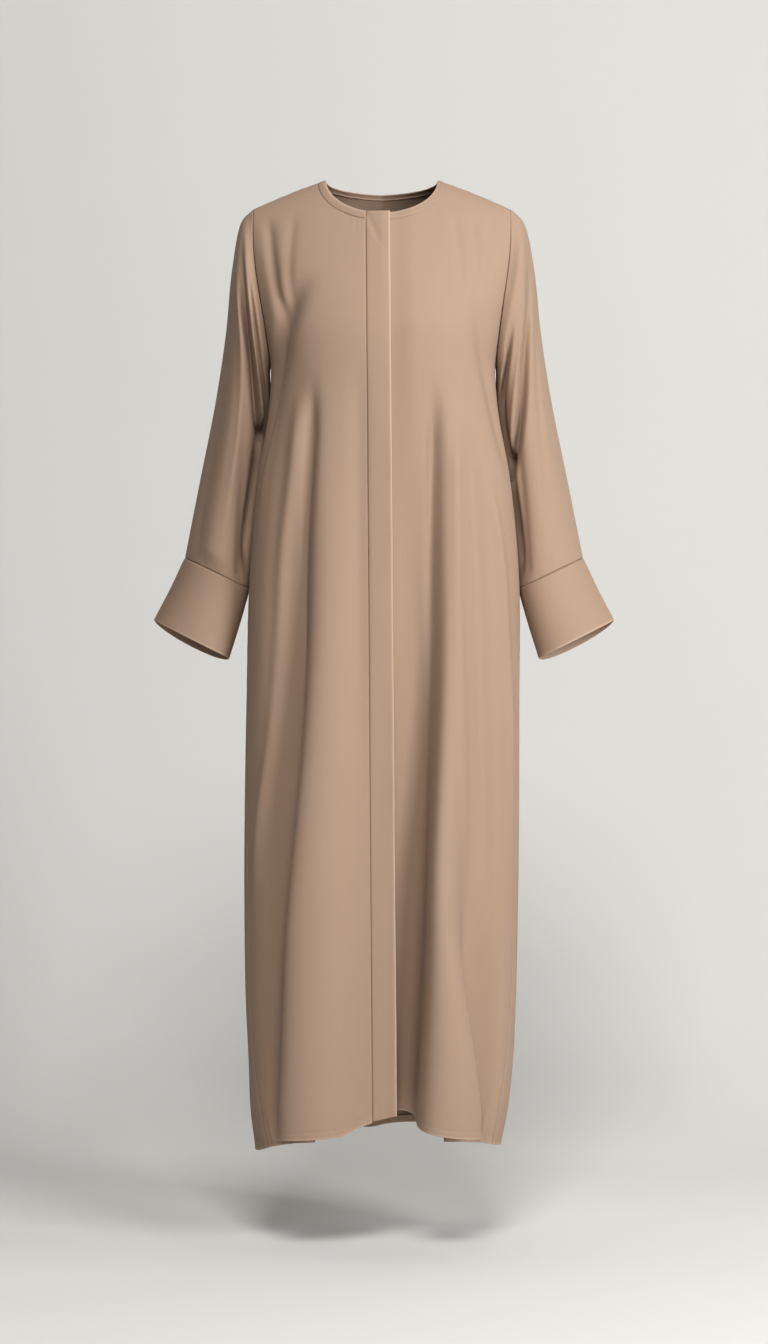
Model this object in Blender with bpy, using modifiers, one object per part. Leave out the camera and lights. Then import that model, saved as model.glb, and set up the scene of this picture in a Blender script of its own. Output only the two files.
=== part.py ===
"""Abaya cloak, worn and filled out with nobody in it: two fronts, a back, set-in sleeves with deep
cuffs, a fly placket and a neck binding, each a thin wall of cloth.

Metres, +Z up. The wearer faces -Y, and +X is the wearer's left. The origin is midway between the
high points of the shoulders, where the neck sits and the shoulders carry the cloak. "drop" is the
depth below that point, and an "angle" is measured round the body from centre front, in degrees,
positive towards the wearer's left.
"""

import math

import bmesh
import bpy
import numpy as np

# Walls and gaps
WALL = 0.0015
DOUBLE_WALL = 0.0024
SEAM_GAP = 0.0004
WELD = 0.00005
SPLIT = 0.0006  # fronts and back each stand this far off their shared shoulder and side seams

# Neck: an ellipse in front view for the seam, and one a binding's width inside it for the edge
NECK_SEAM_HALF, NECK_EDGE_HALF = 0.0895, 0.0795
NECK_SIDE_SEAM_DROP = 0.004
FRONT_NECK_SEAM_DROP, FRONT_NECK_EDGE_DROP = 0.065, 0.055
BACK_NECK_SEAM_DROP, BACK_NECK_EDGE_DROP = 0.018, 0.011

# Shoulders: the ridge falls from the neck to the sleeve, and the body rounds down from it
SHOULDER_DROP, SHOULDER_CURVE = 0.040, 1.15
NECK_SLOPE = 0.30
FRONT_ROUNDING, BACK_ROUNDING, ROUNDING_POWER = 0.24, 0.17, 0.55

# Armhole: half an oval in side view, from the shoulder's end to the underarm
ARMHOLE_HALF_DEPTH = 0.055
UNDERARM_DROP = 0.262

# Placket: 34 mm wide, leaning a little to the wearer's left on its way down
PLACKET_SEAM_TOP, PLACKET_SEAM_HEM = -0.0223, -0.0124
PLACKET_WIDTH = 0.0336
PLACKET_PROUD = 0.0006
PLACKET_TOP_DROP, PLACKET_FOOT_DROP = 0.0525, 1.316
PLACKET_FOOT_RISE, FOOT_RISE_POWER = 0.007, 6
BINDING_PROUD, BINDING_GAP = 0.0004, 0.065
UNDERLAP_WIDTH, UNDERLAP_DEPTH, UNDERLAP_FADE = 0.031, 0.0045, 0.035

BODY_ROUNDNESS = 2.4
HEM_LEVEL = 1.34

# A panel's columns start on the neckline and shoulder, and settle into their folds below them
SETTLING_DROP, FOLD_JOINING_DROP = 0.20, 0.25
HEM_ROUNDS = 4  # the hem's drop depends on a column's angle there, and settles in a few rounds

# Body sections: half widths on the wearer's right and left, and depths to the front and the back
SECTION_COLUMNS = ("drop", "half_right", "half_left", "front", "back")
SECTIONS = np.array(
    [
        (0.000, 0.212, 0.212, 0.088, 0.112),
        (0.040, 0.206, 0.206, 0.098, 0.108),
        (0.110, 0.195, 0.195, 0.115, 0.112),
        (0.150, 0.187, 0.187, 0.123, 0.115),
        (0.220, 0.168, 0.170, 0.134, 0.114),
        (0.262, 0.158, 0.161, 0.133, 0.111),
        (0.310, 0.159, 0.163, 0.130, 0.108),
        (0.425, 0.176, 0.182, 0.125, 0.106),
        (0.552, 0.187, 0.194, 0.124, 0.112),
        (0.737, 0.192, 0.195, 0.126, 0.118),
        (1.035, 0.195, 0.193, 0.128, 0.120),
        (1.163, 0.193, 0.190, 0.130, 0.120),
        (1.248, 0.189, 0.186, 0.132, 0.120),
        (1.319, 0.186, 0.178, 0.134, 0.118),
        (1.372, 0.179, 0.167, 0.134, 0.114),
    ]
)

# Side seams: they come forward towards the hem, where the back wraps round to the front
SEAM_COLUMNS = ("drop", "right", "left")
SEAMS = np.array(
    [
        (0.262, 90, 90),
        (0.550, 90, 90),
        (0.950, 77, 77),
        (1.190, 75, 73),
        (1.260, 72, 70),
        (1.320, 67, 67),
        (1.372, 63, 65),
    ]
)

# Hem: its drop at each angle from centre front, on each side, blended across the front's middle
HEM_BLEND = 8
HEM_COLUMNS = ("angle", "right", "left")
HEM = np.array(
    [
        (0, 1.315, 1.305),
        (12, 1.322, 1.307),
        (22, 1.334, 1.322),
        (32, 1.338, 1.336),
        (43, 1.343, 1.343),
        (58, 1.355, 1.352),
        (75, 1.368, 1.361),
        (95, 1.372, 1.367),
        (120, 1.366, 1.364),
        (150, 1.358, 1.358),
        (180, 1.354, 1.354),
    ]
)

# Folds of the body. A plain fold is a ridge (or a trough, where its depth is negative). A tucked
# one steps down from its raised side and slides sideways, so that the raised cloth overhangs.
FOLD_COLUMNS = ("panel", "top", "middle", "hem", "start", "full", "depth", "width", "tuck", "raised")
FOLDS = (
    ("right", -43, -43.5, -46, 0.20, 1.10, 0.060, 0.0175, 3.0, "inner"),
    ("right", -22, -24, -27, 0.40, 1.30, 0.012, 0.050, 0.0, ""),
    ("left", 46, 42, 45, 0.75, 1.32, 0.050, 0.019, 3.0, "inner"),
    ("left", 31, 28.5, 19, 0.18, 1.05, 0.054, 0.0140, 1.3, "outer"),
    ("left", 22, 18, 10, 0.30, 1.25, -0.010, 0.024, 0.0, ""),
    ("back", -128, -131, -134, 0.30, 1.25, -0.020, 0.024, 0.0, ""),
    ("back", -158, -155, -151, 0.20, 1.20, 0.022, 0.026, 0.0, ""),
    ("back", -176, -174, -171, 0.35, 1.30, -0.026, 0.022, 0.0, ""),
    ("back", 168, 166, 163, 0.30, 1.15, 0.018, 0.028, 0.0, ""),
    ("back", 140, 143, 146, 0.45, 1.30, 0.044, 0.018, 2.4, "inner"),
    ("back", 121, 118, 116, 0.40, 1.25, -0.010, 0.026, 0.0, ""),
)
FOLD_MIDDLE = 0.85
SEAM_CALM = 0.045
SLOPE_STEP = 0.5
TUCK_LATENESS = 3  # a fold tucks under later on its way down than it deepens
TUCK_SPREAD = 1.5  # a tucked fold's step is this many of its widths from middle to crest

# Sleeve rings: the ends of each ring in front view (outer and inner, across and down), its half
# depth, and how far its two ends hang back, the inner one behind the body's side. The first ring
# takes the armhole's own line, and the last is the cuff's seam.
SLEEVE_COLUMNS = (
    "place",
    "outer_x",
    "outer_drop",
    "inner_x",
    "inner_drop",
    "half_depth",
    "inner_back",
    "outer_back",
)
SLEEVE_RINGS = np.array(
    [
        (0.00, 0.184, 0.040, 0.159, 0.262, 0.058, 0.000, 0.000),
        (0.10, 0.2015, 0.060, 0.1595, 0.272, 0.066, 0.006, 0.010),
        (0.22, 0.2135, 0.121, 0.1585, 0.290, 0.072, 0.022, 0.028),
        (0.40, 0.224, 0.210, 0.1590, 0.330, 0.075, 0.044, 0.056),
        (0.60, 0.240, 0.310, 0.1705, 0.395, 0.074, 0.050, 0.072),
        (0.80, 0.262, 0.420, 0.1805, 0.480, 0.064, 0.044, 0.074),
        (1.00, 0.2835, 0.533, 0.1890, 0.578, 0.052, 0.030, 0.064),
    ]
)
CUFF_RINGS = np.array(
    [
        (0.00, 0.2835, 0.533, 0.1890, 0.578, 0.052, 0.030, 0.064),
        (0.50, 0.3040, 0.578, 0.2025, 0.627, 0.050, 0.018, 0.056),
        (1.00, 0.3262, 0.622, 0.2175, 0.676, 0.046, 0.008, 0.046),
    ]
)
CUFF_GAP = 0.0008
CUFF_BACK_DROP = 0.012
LEFT_ARM_REACH = 0.006
ARMHOLE_FADE = 0.22
ARMHOLE_GAP, SHOULDER_SEAM_GAP = 0.0009, 0.0010

# Sleeve folds: each follows a path of (place, angle round the sleeve from its outer line), where
# an angle is positive to the front
SLEEVE_FOLD_COLUMNS = ("side", "start", "full", "end", "depth", "width", "path")
SLEEVE_FOLDS = (
    ("right", 0.05, 0.30, 0.75, -0.016, 15, ((0.10, 49), (0.29, 90), (0.41, 111), (0.56, 149))),
    ("right", 0.10, 0.40, 0.95, 0.006, 24, ((0.10, 30), (0.50, 72), (1.00, 84))),
    ("right", 0.15, 0.50, 0.95, -0.011, 20, ((0.00, -70), (1.00, -92))),
    ("left", 0.08, 0.35, 0.85, -0.013, 15, ((0.16, 34), (0.36, 70), (0.58, 120), (0.69, 160))),
    ("left", 0.12, 0.32, 0.72, -0.009, 13, ((0.20, 112), (0.35, 136), (0.50, 152))),
    ("left", 0.15, 0.55, 0.95, -0.012, 20, ((0.00, -80), (1.00, -70))),
)

# Grids: segments across and down each piece
FRONT_INNER_COLUMNS, FRONT_OUTER_COLUMNS = {"right": 7, "left": 9}, 7
BACK_COLUMNS, BODY_ROWS = 7, 22
SLEEVE_COLUMNS_ROUND, SLEEVE_ROWS, CUFF_ROWS = 20, 12, 3
PLACKET_COLUMNS, BINDING_ROWS = 3, 1
COLUMN_CROWDING, ROW_CROWDING, SLEEVE_CROWDING = 1.5, 1.9, 1.25

# Finishes
CLOTH_COLOUR = (0.398, 0.262, 0.190, 1.0)
BAND_COLOUR = (0.385, 0.252, 0.182, 1.0)
CLOTH_ROUGHNESS = 0.72

SIGN = {"right": -1.0, "left": 1.0}


def smooth(t):
    """Ease from 0 to 1 as t goes from 0 to 1."""
    t = np.clip(t, 0.0, 1.0)
    return t * t * (3.0 - 2.0 * t)


def curve(places, values, at):
    """The smooth curve through the values at the rising places, read at the given places."""
    places, values = np.asarray(places, float), np.asarray(values, float)
    slopes = np.gradient(values, places)
    at = np.clip(at, places[0], places[-1])
    i = np.clip(np.searchsorted(places, at, side="right") - 1, 0, len(places) - 2)
    span = places[i + 1] - places[i]
    t = (at - places[i]) / span
    start = (1 + 2 * t) * (1 - t) ** 2 * values[i] + t * (1 - t) ** 2 * span * slopes[i]
    end = t * t * (3 - 2 * t) * values[i + 1] + t * t * (t - 1) * span * slopes[i + 1]
    return start + end


def read(table, columns, name, at):
    """A named column of a table, read at places of its first column."""
    return curve(table[:, 0], table[:, columns.index(name)], at)


def section(name, drop):
    return read(SECTIONS, SECTION_COLUMNS, name, drop)


def ridge_drop(x):
    """How far below the neck point the top of the shoulder is, at a distance out from the middle."""
    shoulder_end = NECK_EDGE_HALF + SHOULDER_LENGTH
    along = (np.abs(x) - NECK_EDGE_HALF) / (shoulder_end - NECK_EDGE_HALF)
    outside = SHOULDER_DROP * np.clip(along, 0, None) ** SHOULDER_CURVE
    return outside - NECK_SLOPE * np.clip(NECK_EDGE_HALF - np.abs(x), 0, None)


def half_width(side, drop):
    return section("half_" + side, drop)


def ring_y(side, face, x, drop):
    """The depth of the body's section at a distance out, before the shoulder rounds it off."""
    out = np.clip(np.abs(x) / half_width(side, drop), 0, 1)
    return section(face, drop) * (1 - out**BODY_ROUNDNESS) ** (1 / BODY_ROUNDNESS)


def shoulder_end_x():
    """Where the shoulder seam meets the armhole."""
    ratio = ARMHOLE_HALF_DEPTH / section("front", SHOULDER_DROP)
    return half_width("left", SHOULDER_DROP) * (1 - ratio**BODY_ROUNDNESS) ** (1 / BODY_ROUNDNESS)


SHOULDER_LENGTH = float(shoulder_end_x()) - NECK_EDGE_HALF


def armhole_angle(side, face, drop):
    """The angle of the armhole from the middle of its face: 90 degrees at the underarm and below."""
    middle = (SHOULDER_DROP + UNDERARM_DROP) / 2
    reach = (UNDERARM_DROP - SHOULDER_DROP) / 2
    below = np.clip((drop - middle) / reach, 0, 1)
    depth = ARMHOLE_HALF_DEPTH * np.sqrt(1 - below**2)
    if face == "back":
        depth = depth * section("back", SHOULDER_DROP) / section("front", SHOULDER_DROP)
    ratio = np.clip(depth / section(face, drop), 0, 1)
    x = half_width(side, drop) * (1 - ratio**BODY_ROUNDNESS) ** (1 / BODY_ROUNDNESS)
    return np.degrees(np.arctan2(x, depth))


def side_edge(side, face, drop):
    """The angle of a panel's outer edge, down the armhole and then the side seam."""
    seam = read(SEAMS, SEAM_COLUMNS, side, drop)
    if face == "back":
        seam = 180 - seam
    arm = armhole_angle(side, face, np.maximum(drop, SHOULDER_DROP))
    return np.where(drop < UNDERARM_DROP, arm, seam)


def fold_angle(fold, drop):
    return curve((0.0, FOLD_MIDDLE, HEM_LEVEL), (fold["top"], fold["middle"], fold["hem"]), drop)


def clear_of_seam(panel, angle, drop, radius):
    """0 on the side seam, rising to 1 a little way in from it, so that the panels meet there."""
    if panel == "back":
        edge = np.where(angle < 0, side_edge("right", "back", drop), side_edge("left", "back", drop))
        inside = edge - (180 - np.abs(angle))
    else:
        inside = side_edge(panel, "front", drop) - np.abs(angle)
    return smooth(np.radians(inside) * radius / SEAM_CALM)


def fold_moves(panel, angle, drop, radius):
    """How far the folds push the cloth outwards, and how far they slide it round the body."""
    outward, round_body = np.zeros_like(angle), np.zeros_like(angle)
    calm = clear_of_seam(panel, angle, drop, radius)
    for row in FOLDS:
        fold = dict(zip(FOLD_COLUMNS, row))
        if fold["panel"] != panel:
            continue
        grown = calm * smooth((drop - fold["start"]) / (fold["full"] - fold["start"]))
        turned = (angle - fold_angle(fold, drop) + 180) % 360 - 180
        away = np.radians(turned) * radius / fold["width"]
        if not fold["raised"]:
            outward += fold["depth"] * grown * np.exp(-(away**2))
            continue
        facing = math.copysign(1.0, fold["hem"]) * (-1.0 if fold["raised"] == "inner" else 1.0)
        if panel == "back":
            facing = -facing
        raised = away * facing
        crest = raised / TUCK_SPREAD
        outward += fold["depth"] / 2 * grown * crest * np.exp((1 - crest**2) / 2)
        tucked = fold["tuck"] * fold["width"] * grown**TUCK_LATENESS
        round_body -= facing * tucked * raised * np.exp(-(raised**2) / 2)
    return outward, round_body


def body_points(panel, angle, drop):
    """Points of a panel's outer face at the given angles and drops."""
    angle, drop = np.broadcast_arrays(np.asarray(angle, float), np.asarray(drop, float))

    def plain(at):
        turn = np.radians(at)
        half = np.where(turn < 0, half_width("right", drop), half_width("left", drop))
        depth = np.where(np.cos(turn) > 0, section("front", drop), section("back", drop))
        across, ahead = np.abs(np.sin(turn)) / half, np.abs(np.cos(turn)) / depth
        radius = (across**BODY_ROUNDNESS + ahead**BODY_ROUNDNESS) ** (-1 / BODY_ROUNDNESS)
        x, y = radius * np.sin(turn), -radius * np.cos(turn)
        rounding = np.where(np.cos(turn) > 0, FRONT_ROUNDING, BACK_ROUNDING)
        below = np.clip((drop - ridge_drop(x)) / rounding, 0, 1)
        return x, y * (1 - (1 - below) ** 2) ** ROUNDING_POWER, radius

    wrapped = (angle + 180) % 360 - 180
    x, y, radius = plain(wrapped)
    x_on, y_on, _ = plain(wrapped + SLOPE_STEP)
    x_off, y_off, _ = plain(wrapped - SLOPE_STEP)
    along = np.stack([x_on - x_off, y_on - y_off], -1)
    along /= np.maximum(np.linalg.norm(along, axis=-1, keepdims=True), 1e-9)
    outward, round_body = fold_moves(panel, wrapped, drop, radius)
    if panel == "left":
        under = (x - placket_edge(drop)) / UNDERLAP_FADE
        outward -= UNDERLAP_DEPTH * (1 - smooth(under))
    x = x + along[..., 1] * outward + along[..., 0] * round_body
    y = y - along[..., 0] * outward + along[..., 1] * round_body
    y = y + (SPLIT if panel == "back" else -SPLIT)
    return np.stack([x, y, -drop * np.ones_like(x)], -1)


def placket_seam(drop):
    """How far across the placket's stitched edge is."""
    down = np.clip((drop - FRONT_NECK_EDGE_DROP) / (HEM_LEVEL - FRONT_NECK_EDGE_DROP), 0, 1)
    return PLACKET_SEAM_TOP + (PLACKET_SEAM_HEM - PLACKET_SEAM_TOP) * down


def placket_edge(drop):
    """How far across the placket's free edge is."""
    return placket_seam(drop) + PLACKET_WIDTH


def angle_at(side, face, x, drop):
    """The angle, from the middle of its face, of the point at a distance out."""
    return np.degrees(np.arctan2(np.abs(x), ring_y(side, face, x, drop)))


def hem_drop(angle):
    """How far down the hem is at an angle round the body."""
    angle = (np.asarray(angle, float) + 180) % 360 - 180
    right = read(HEM, HEM_COLUMNS, "right", np.abs(angle))
    left = read(HEM, HEM_COLUMNS, "left", np.abs(angle))
    share = smooth((angle + HEM_BLEND) / (2 * HEM_BLEND)) if np.all(np.abs(angle) < 90) else angle > 0
    return right + (left - right) * share


def main_fold_angle(side, drop):
    """The line that a front's columns crowd round: its tucked fold, and the neck point above it."""
    neck = float(angle_at(side, "front", NECK_SEAM_HALF, NECK_SIDE_SEAM_DROP))
    row = next(row for row in FOLDS if row[0] == side and row[FOLD_COLUMNS.index("raised")] == "inner")
    fold = dict(zip(FOLD_COLUMNS, row))
    below = smooth((drop - NECK_SIDE_SEAM_DROP) / FOLD_JOINING_DROP)
    return neck + (np.abs(fold_angle(fold, drop)) - neck) * below


def inner_edge(side, drop):
    """The signed angle of a front's centre edge."""
    if side == "right":
        x = placket_seam(drop) - SEAM_GAP
    else:
        x = placket_edge(drop) - UNDERLAP_WIDTH
    return np.degrees(np.arctan2(x, section("front", drop)))


def row_places(count):
    """Places from the top edge (0) to the hem (1), crowded where the shoulder rounds."""
    return np.linspace(0, 1, count + 1) ** ROW_CROWDING


def front_angles(side, columns, drop):
    """Signed angles of a front's columns, from -1 at the centre edge to 1 at the side."""
    centre = inner_edge(side, drop)
    fold = SIGN[side] * main_fold_angle(side, drop)
    edge = SIGN[side] * side_edge(side, "front", drop)
    inner, outer = np.clip(-columns, 0, 1), np.clip(columns, 0, 1)
    return fold + (centre - fold) * inner + (edge - fold) * outer


def neck_curve(face, turn, place):
    """Across and drop of a point on the neckline: place 0 is the seam, and 1 the bound edge."""
    seam_drop, edge_drop = {
        "front": (FRONT_NECK_SEAM_DROP, FRONT_NECK_EDGE_DROP),
        "back": (BACK_NECK_SEAM_DROP, BACK_NECK_EDGE_DROP),
    }[face]
    half = NECK_SEAM_HALF + (NECK_EDGE_HALF - NECK_SEAM_HALF) * place
    side = NECK_SIDE_SEAM_DROP * (1 - place)
    middle = seam_drop + (edge_drop - seam_drop) * place
    return half * np.sin(turn), side + (middle - side) * np.cos(turn)


def neck_turns(side, face, columns, place=0.0):
    """Turns round the neck, from the middle of a face to its shoulder seam, for columns -1 to 0."""
    start = 0.0
    half = NECK_SEAM_HALF + (NECK_EDGE_HALF - NECK_SEAM_HALF) * place
    if face == "front":
        centre = PLACKET_SEAM_TOP - SEAM_GAP
        if side == "left":
            centre = PLACKET_SEAM_TOP + PLACKET_WIDTH - UNDERLAP_WIDTH
        start = math.asin(SIGN[side] * centre / half)
    return start + (math.pi / 2 - start) * np.clip(1 + columns, 0, 1)


def top_edge(side, face, columns):
    """Across and drop of a panel's neckline and shoulder seam, for columns from -1 to 1."""
    neck_x, neck_drop = neck_curve(face, neck_turns(side, face, columns), 0.0)
    shoulder_end = NECK_EDGE_HALF + SHOULDER_LENGTH
    shoulder_x = NECK_SEAM_HALF + (shoulder_end - NECK_SEAM_HALF) * np.clip(columns, 0, 1)
    on_neck = columns < 0
    return (
        np.where(on_neck, neck_x, shoulder_x),
        np.where(on_neck, neck_drop, ridge_drop(shoulder_x)),
    )


def crowded(inner, outer):
    """Columns from -1 to 1, crowded round 0."""
    left = -(np.linspace(1, 0, inner + 1) ** COLUMN_CROWDING)
    right = np.linspace(0, 1, outer + 1) ** COLUMN_CROWDING
    return np.concatenate([left, right[1:]])


def half_panel(side, face, columns):
    """Angles and drops of a panel's grid, rows down and columns from its middle to its side."""
    x, top = top_edge(side, face, columns)
    signed = SIGN[side] * angle_at(side, face, x, top)
    signed = np.where(x < 0, -signed, signed)

    def angles(drop):
        if face == "front":
            return front_angles(side, columns, drop)
        edge = side_edge(side, "back", drop)
        fold = edge * 0.5
        inner, outer = np.clip(-columns, 0, 1), np.clip(columns, 0, 1)
        return SIGN[side] * (fold - fold * inner + (edge - fold) * outer)

    off_top = signed - angles(top)
    to_front = (lambda a: a) if face == "front" else (lambda a: SIGN[side] * 180 - a)
    hem = np.full_like(columns, HEM_LEVEL)
    for _ in range(HEM_ROUNDS):
        hem = hem_drop(to_front(angles(hem)))
    places = row_places(BODY_ROWS)[:, None]
    drops = top + (hem - top) * places
    settled = smooth((drops - top) / SETTLING_DROP)
    turned = angles(drops) + off_top * (1 - settled)
    return to_front(turned), drops


def grid_object(name, points, wall, material, closed_round=False):
    """A wall of cloth: a plane grid, moved onto its form row by row, and thickened inwards."""
    rows, columns = points.shape[0] - 1, points.shape[1] - 1
    bm = bmesh.new()
    bmesh.ops.create_grid(bm, x_segments=columns, y_segments=rows, size=0.5)
    for vert in bm.verts:
        column = round((vert.co.x + 0.5) * columns)
        row = round((0.5 - vert.co.y) * rows)
        vert.co = points[row, column]
    if closed_round:
        bmesh.ops.remove_doubles(bm, verts=bm.verts, dist=WELD)
    mesh = bpy.data.meshes.new(name)
    bm.to_mesh(mesh)
    bm.free()
    mesh.shade_smooth()
    mesh.materials.append(material)
    obj = bpy.data.objects.new(name, mesh)
    PARTS.objects.link(obj)
    thickness = obj.modifiers.new("Wall", "SOLIDIFY")
    thickness.thickness = wall
    thickness.offset = -1.0
    return obj


def cloth_material(name, colour):
    material = bpy.data.materials.new(name)
    material.use_nodes = True
    shader = material.node_tree.nodes["Principled BSDF"]
    shader.inputs["Base Color"].default_value = colour
    shader.inputs["Roughness"].default_value = CLOTH_ROUGHNESS
    shader.inputs["Metallic"].default_value = 0.0
    return material


def panel_columns(side, face):
    """A panel's columns, from -1 at the middle of its face, by 0 at the neck point, to 1."""
    if face == "back":
        return np.linspace(-1, 1, 2 * BACK_COLUMNS + 1)
    return crowded(FRONT_INNER_COLUMNS[side], FRONT_OUTER_COLUMNS)


def build_front(side, material):
    angle, drop = half_panel(side, "front", panel_columns(side, "front"))
    points = body_points(side, angle, drop)
    if side == "right":
        points = points[:, ::-1]
    return grid_object(f"front_{side}", points, WALL, material)


def build_back(material):
    halves = []
    for side in ("left", "right"):
        angle, drop = half_panel(side, "back", panel_columns(side, "back"))
        halves.append(body_points("back", angle, drop))
    left, right = halves
    points = np.concatenate([left[:, ::-1], right[:, 1:]], axis=1)
    return grid_object("back", points, WALL, material)


def lifted(points, away):
    """The points of a grid, moved along the grid's own normals."""
    down = np.gradient(points, axis=0)
    across = np.gradient(points, axis=1)
    normal = np.cross(down, across)
    normal /= np.linalg.norm(normal, axis=-1, keepdims=True)
    return points + normal * away


def build_placket(material):
    rows = row_places(BODY_ROWS)[:, None]
    places = np.linspace(0, 1, PLACKET_COLUMNS + 1)
    drop = PLACKET_TOP_DROP + (PLACKET_FOOT_DROP - PLACKET_TOP_DROP) * rows + 0 * places
    x = placket_seam(drop) + PLACKET_WIDTH * places
    drop = drop - PLACKET_FOOT_RISE * places * rows**FOOT_RISE_POWER
    angle = np.degrees(np.arctan2(x, section("front", drop)))
    points = lifted(body_points("right", angle, drop), PLACKET_PROUD)
    return grid_object("placket", points, DOUBLE_WALL, material)


def build_binding(material):
    """A band from the placket's seam over the right shoulder, behind the neck, and down the left
    front's neckline to the end of its underlap."""
    runs = (
        ("right", "front", 1),
        ("right", "back", -1),
        ("left", "back", 1),
        ("left", "front", -1),
    )
    strips = []
    for side, face, step in runs:
        columns = panel_columns(side, face)
        panel = side if face == "front" else "back"
        strip = []
        for place in np.linspace(1, BINDING_GAP, BINDING_ROWS + 1):
            turns = neck_turns(side, face, columns[columns <= 0], place)[::step]
            x, drop = neck_curve(face, turns, place)
            angle = SIGN[side] * angle_at(side, face, x, drop) * np.where(x < 0, -1, 1)
            angle = angle if face == "front" else SIGN[side] * 180 - angle
            strip.append(body_points(panel, angle, drop))
        strips.append(np.array(strip))
    for before, after in zip(strips, strips[1:]):
        joint = (before[:, -1] + after[:, 0]) / 2
        before[:, -1] = joint
        after[:, 0] = joint
    points = np.concatenate([strips[0]] + [strip[:, 1:] for strip in strips[1:]], axis=1)
    return grid_object("neck_binding", lifted(points[:, ::-1], BINDING_PROUD), DOUBLE_WALL, material)


def oval_ring(rings, side, place, turn, reach):
    """A point of a sleeve's or cuff's ring, at a place down it and an angle round it. The wearer's
    left arm reaches a little further out than the right."""
    outer_x, outer_drop, inner_x, inner_drop, half_depth, inner_back, outer_back = (
        read(rings, SLEEVE_COLUMNS, name, place) for name in SLEEVE_COLUMNS[1:]
    )
    middle_x, middle_drop = (outer_x + inner_x) / 2, (outer_drop + inner_drop) / 2
    x = middle_x + (outer_x - inner_x) / 2 * np.cos(turn)
    drop = middle_drop + (outer_drop - inner_drop) / 2 * np.cos(turn)
    x = x + LEFT_ARM_REACH * reach * (side == "left")
    hung_back = (inner_back + outer_back) / 2 + (outer_back - inner_back) / 2 * np.cos(turn)
    y = hung_back - half_depth * np.sin(turn)
    return np.stack([SIGN[side] * x, y, -drop], -1)


def armhole_loop(side, turn):
    """Points round an armhole, from the shoulder's end at 0 by the front."""
    middle, reach = (SHOULDER_DROP + UNDERARM_DROP) / 2, (UNDERARM_DROP - SHOULDER_DROP) / 2
    drop = middle - reach * np.cos(turn)
    front = body_points(side, SIGN[side] * side_edge(side, "front", drop), drop)
    back = body_points("back", SIGN[side] * (180 - side_edge(side, "back", drop)), drop)
    loop = np.where((np.sin(turn) > 0)[..., None], front, back)
    gap = ARMHOLE_GAP + SHOULDER_SEAM_GAP * (1 + np.cos(turn)) / 2
    loop[..., 0] += SIGN[side] * gap
    return loop


def build_sleeve(side, material):
    turns = np.radians(np.linspace(-180, 180, SLEEVE_COLUMNS_ROUND + 1))[None, :]
    places = np.linspace(0, 1, SLEEVE_ROWS + 1)[:, None] ** SLEEVE_CROWDING
    place, turn = np.broadcast_arrays(places, turns)
    reach = (1 + place) / 2
    points = oval_ring(SLEEVE_RINGS, side, place, turn, reach)
    off = armhole_loop(side, turns) - points[:1]
    points = points + off * (1 - smooth(place / ARMHOLE_FADE))[..., None]
    middle = points[:, :-1].mean(axis=1, keepdims=True)
    outward = points - middle
    outward /= np.linalg.norm(outward, axis=-1, keepdims=True)
    pushed = np.zeros_like(place)
    for row in SLEEVE_FOLDS:
        fold = dict(zip(SLEEVE_FOLD_COLUMNS, row))
        if fold["side"] != side:
            continue
        grown = smooth((place - fold["start"]) / (fold["full"] - fold["start"]))
        grown = grown * smooth((1 - place) / (1 - fold["end"]))
        at = curve(*zip(*fold["path"]), place)
        turned = (np.degrees(turn) - at + 180) % 360 - 180
        pushed += fold["depth"] * grown * np.exp(-((turned / fold["width"]) ** 2))
    points = points + outward * pushed[..., None]
    if side == "left":
        points = points[:, ::-1]
    return grid_object(f"sleeve_{side}", points, WALL, material, closed_round=True)


def build_cuff(side, material):
    turns = np.radians(np.linspace(-180, 180, SLEEVE_COLUMNS_ROUND + 1))[None, :]
    places = np.linspace(0, 1, CUFF_ROWS + 1)[:, None]
    place, turn = np.broadcast_arrays(places, turns)
    points = oval_ring(CUFF_RINGS, side, place, turn, 1.0)
    points[..., 2] -= CUFF_GAP * (1 - place)
    points[..., 2] -= CUFF_BACK_DROP * place * np.clip(-np.sin(turn), 0, 1)
    if side == "left":
        points = points[:, ::-1]
    return grid_object(f"cuff_{side}", points, DOUBLE_WALL, material, closed_round=True)


for old in list(bpy.data.objects):
    bpy.data.objects.remove(old, do_unlink=True)

PARTS = bpy.data.collections.new("abaya_cloak")
bpy.context.scene.collection.children.link(PARTS)

cloth = cloth_material("crepe", CLOTH_COLOUR)
bands = cloth_material("crepe_double", BAND_COLOUR)
for wearer_side in ("right", "left"):
    build_front(wearer_side, cloth)
    build_sleeve(wearer_side, cloth)
    build_cuff(wearer_side, bands)
build_back(cloth)
build_placket(bands)
build_binding(bands)
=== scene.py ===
"""Abaya cloak: the finished cloth, seams and stitching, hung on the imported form.

Metres, +Z up, wearer facing -Y with their left at +X. "drop" is the depth below the shoulders'
high points. An "angle" goes round the body from centre front, positive to the wearer's left.
"""

import math

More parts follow.
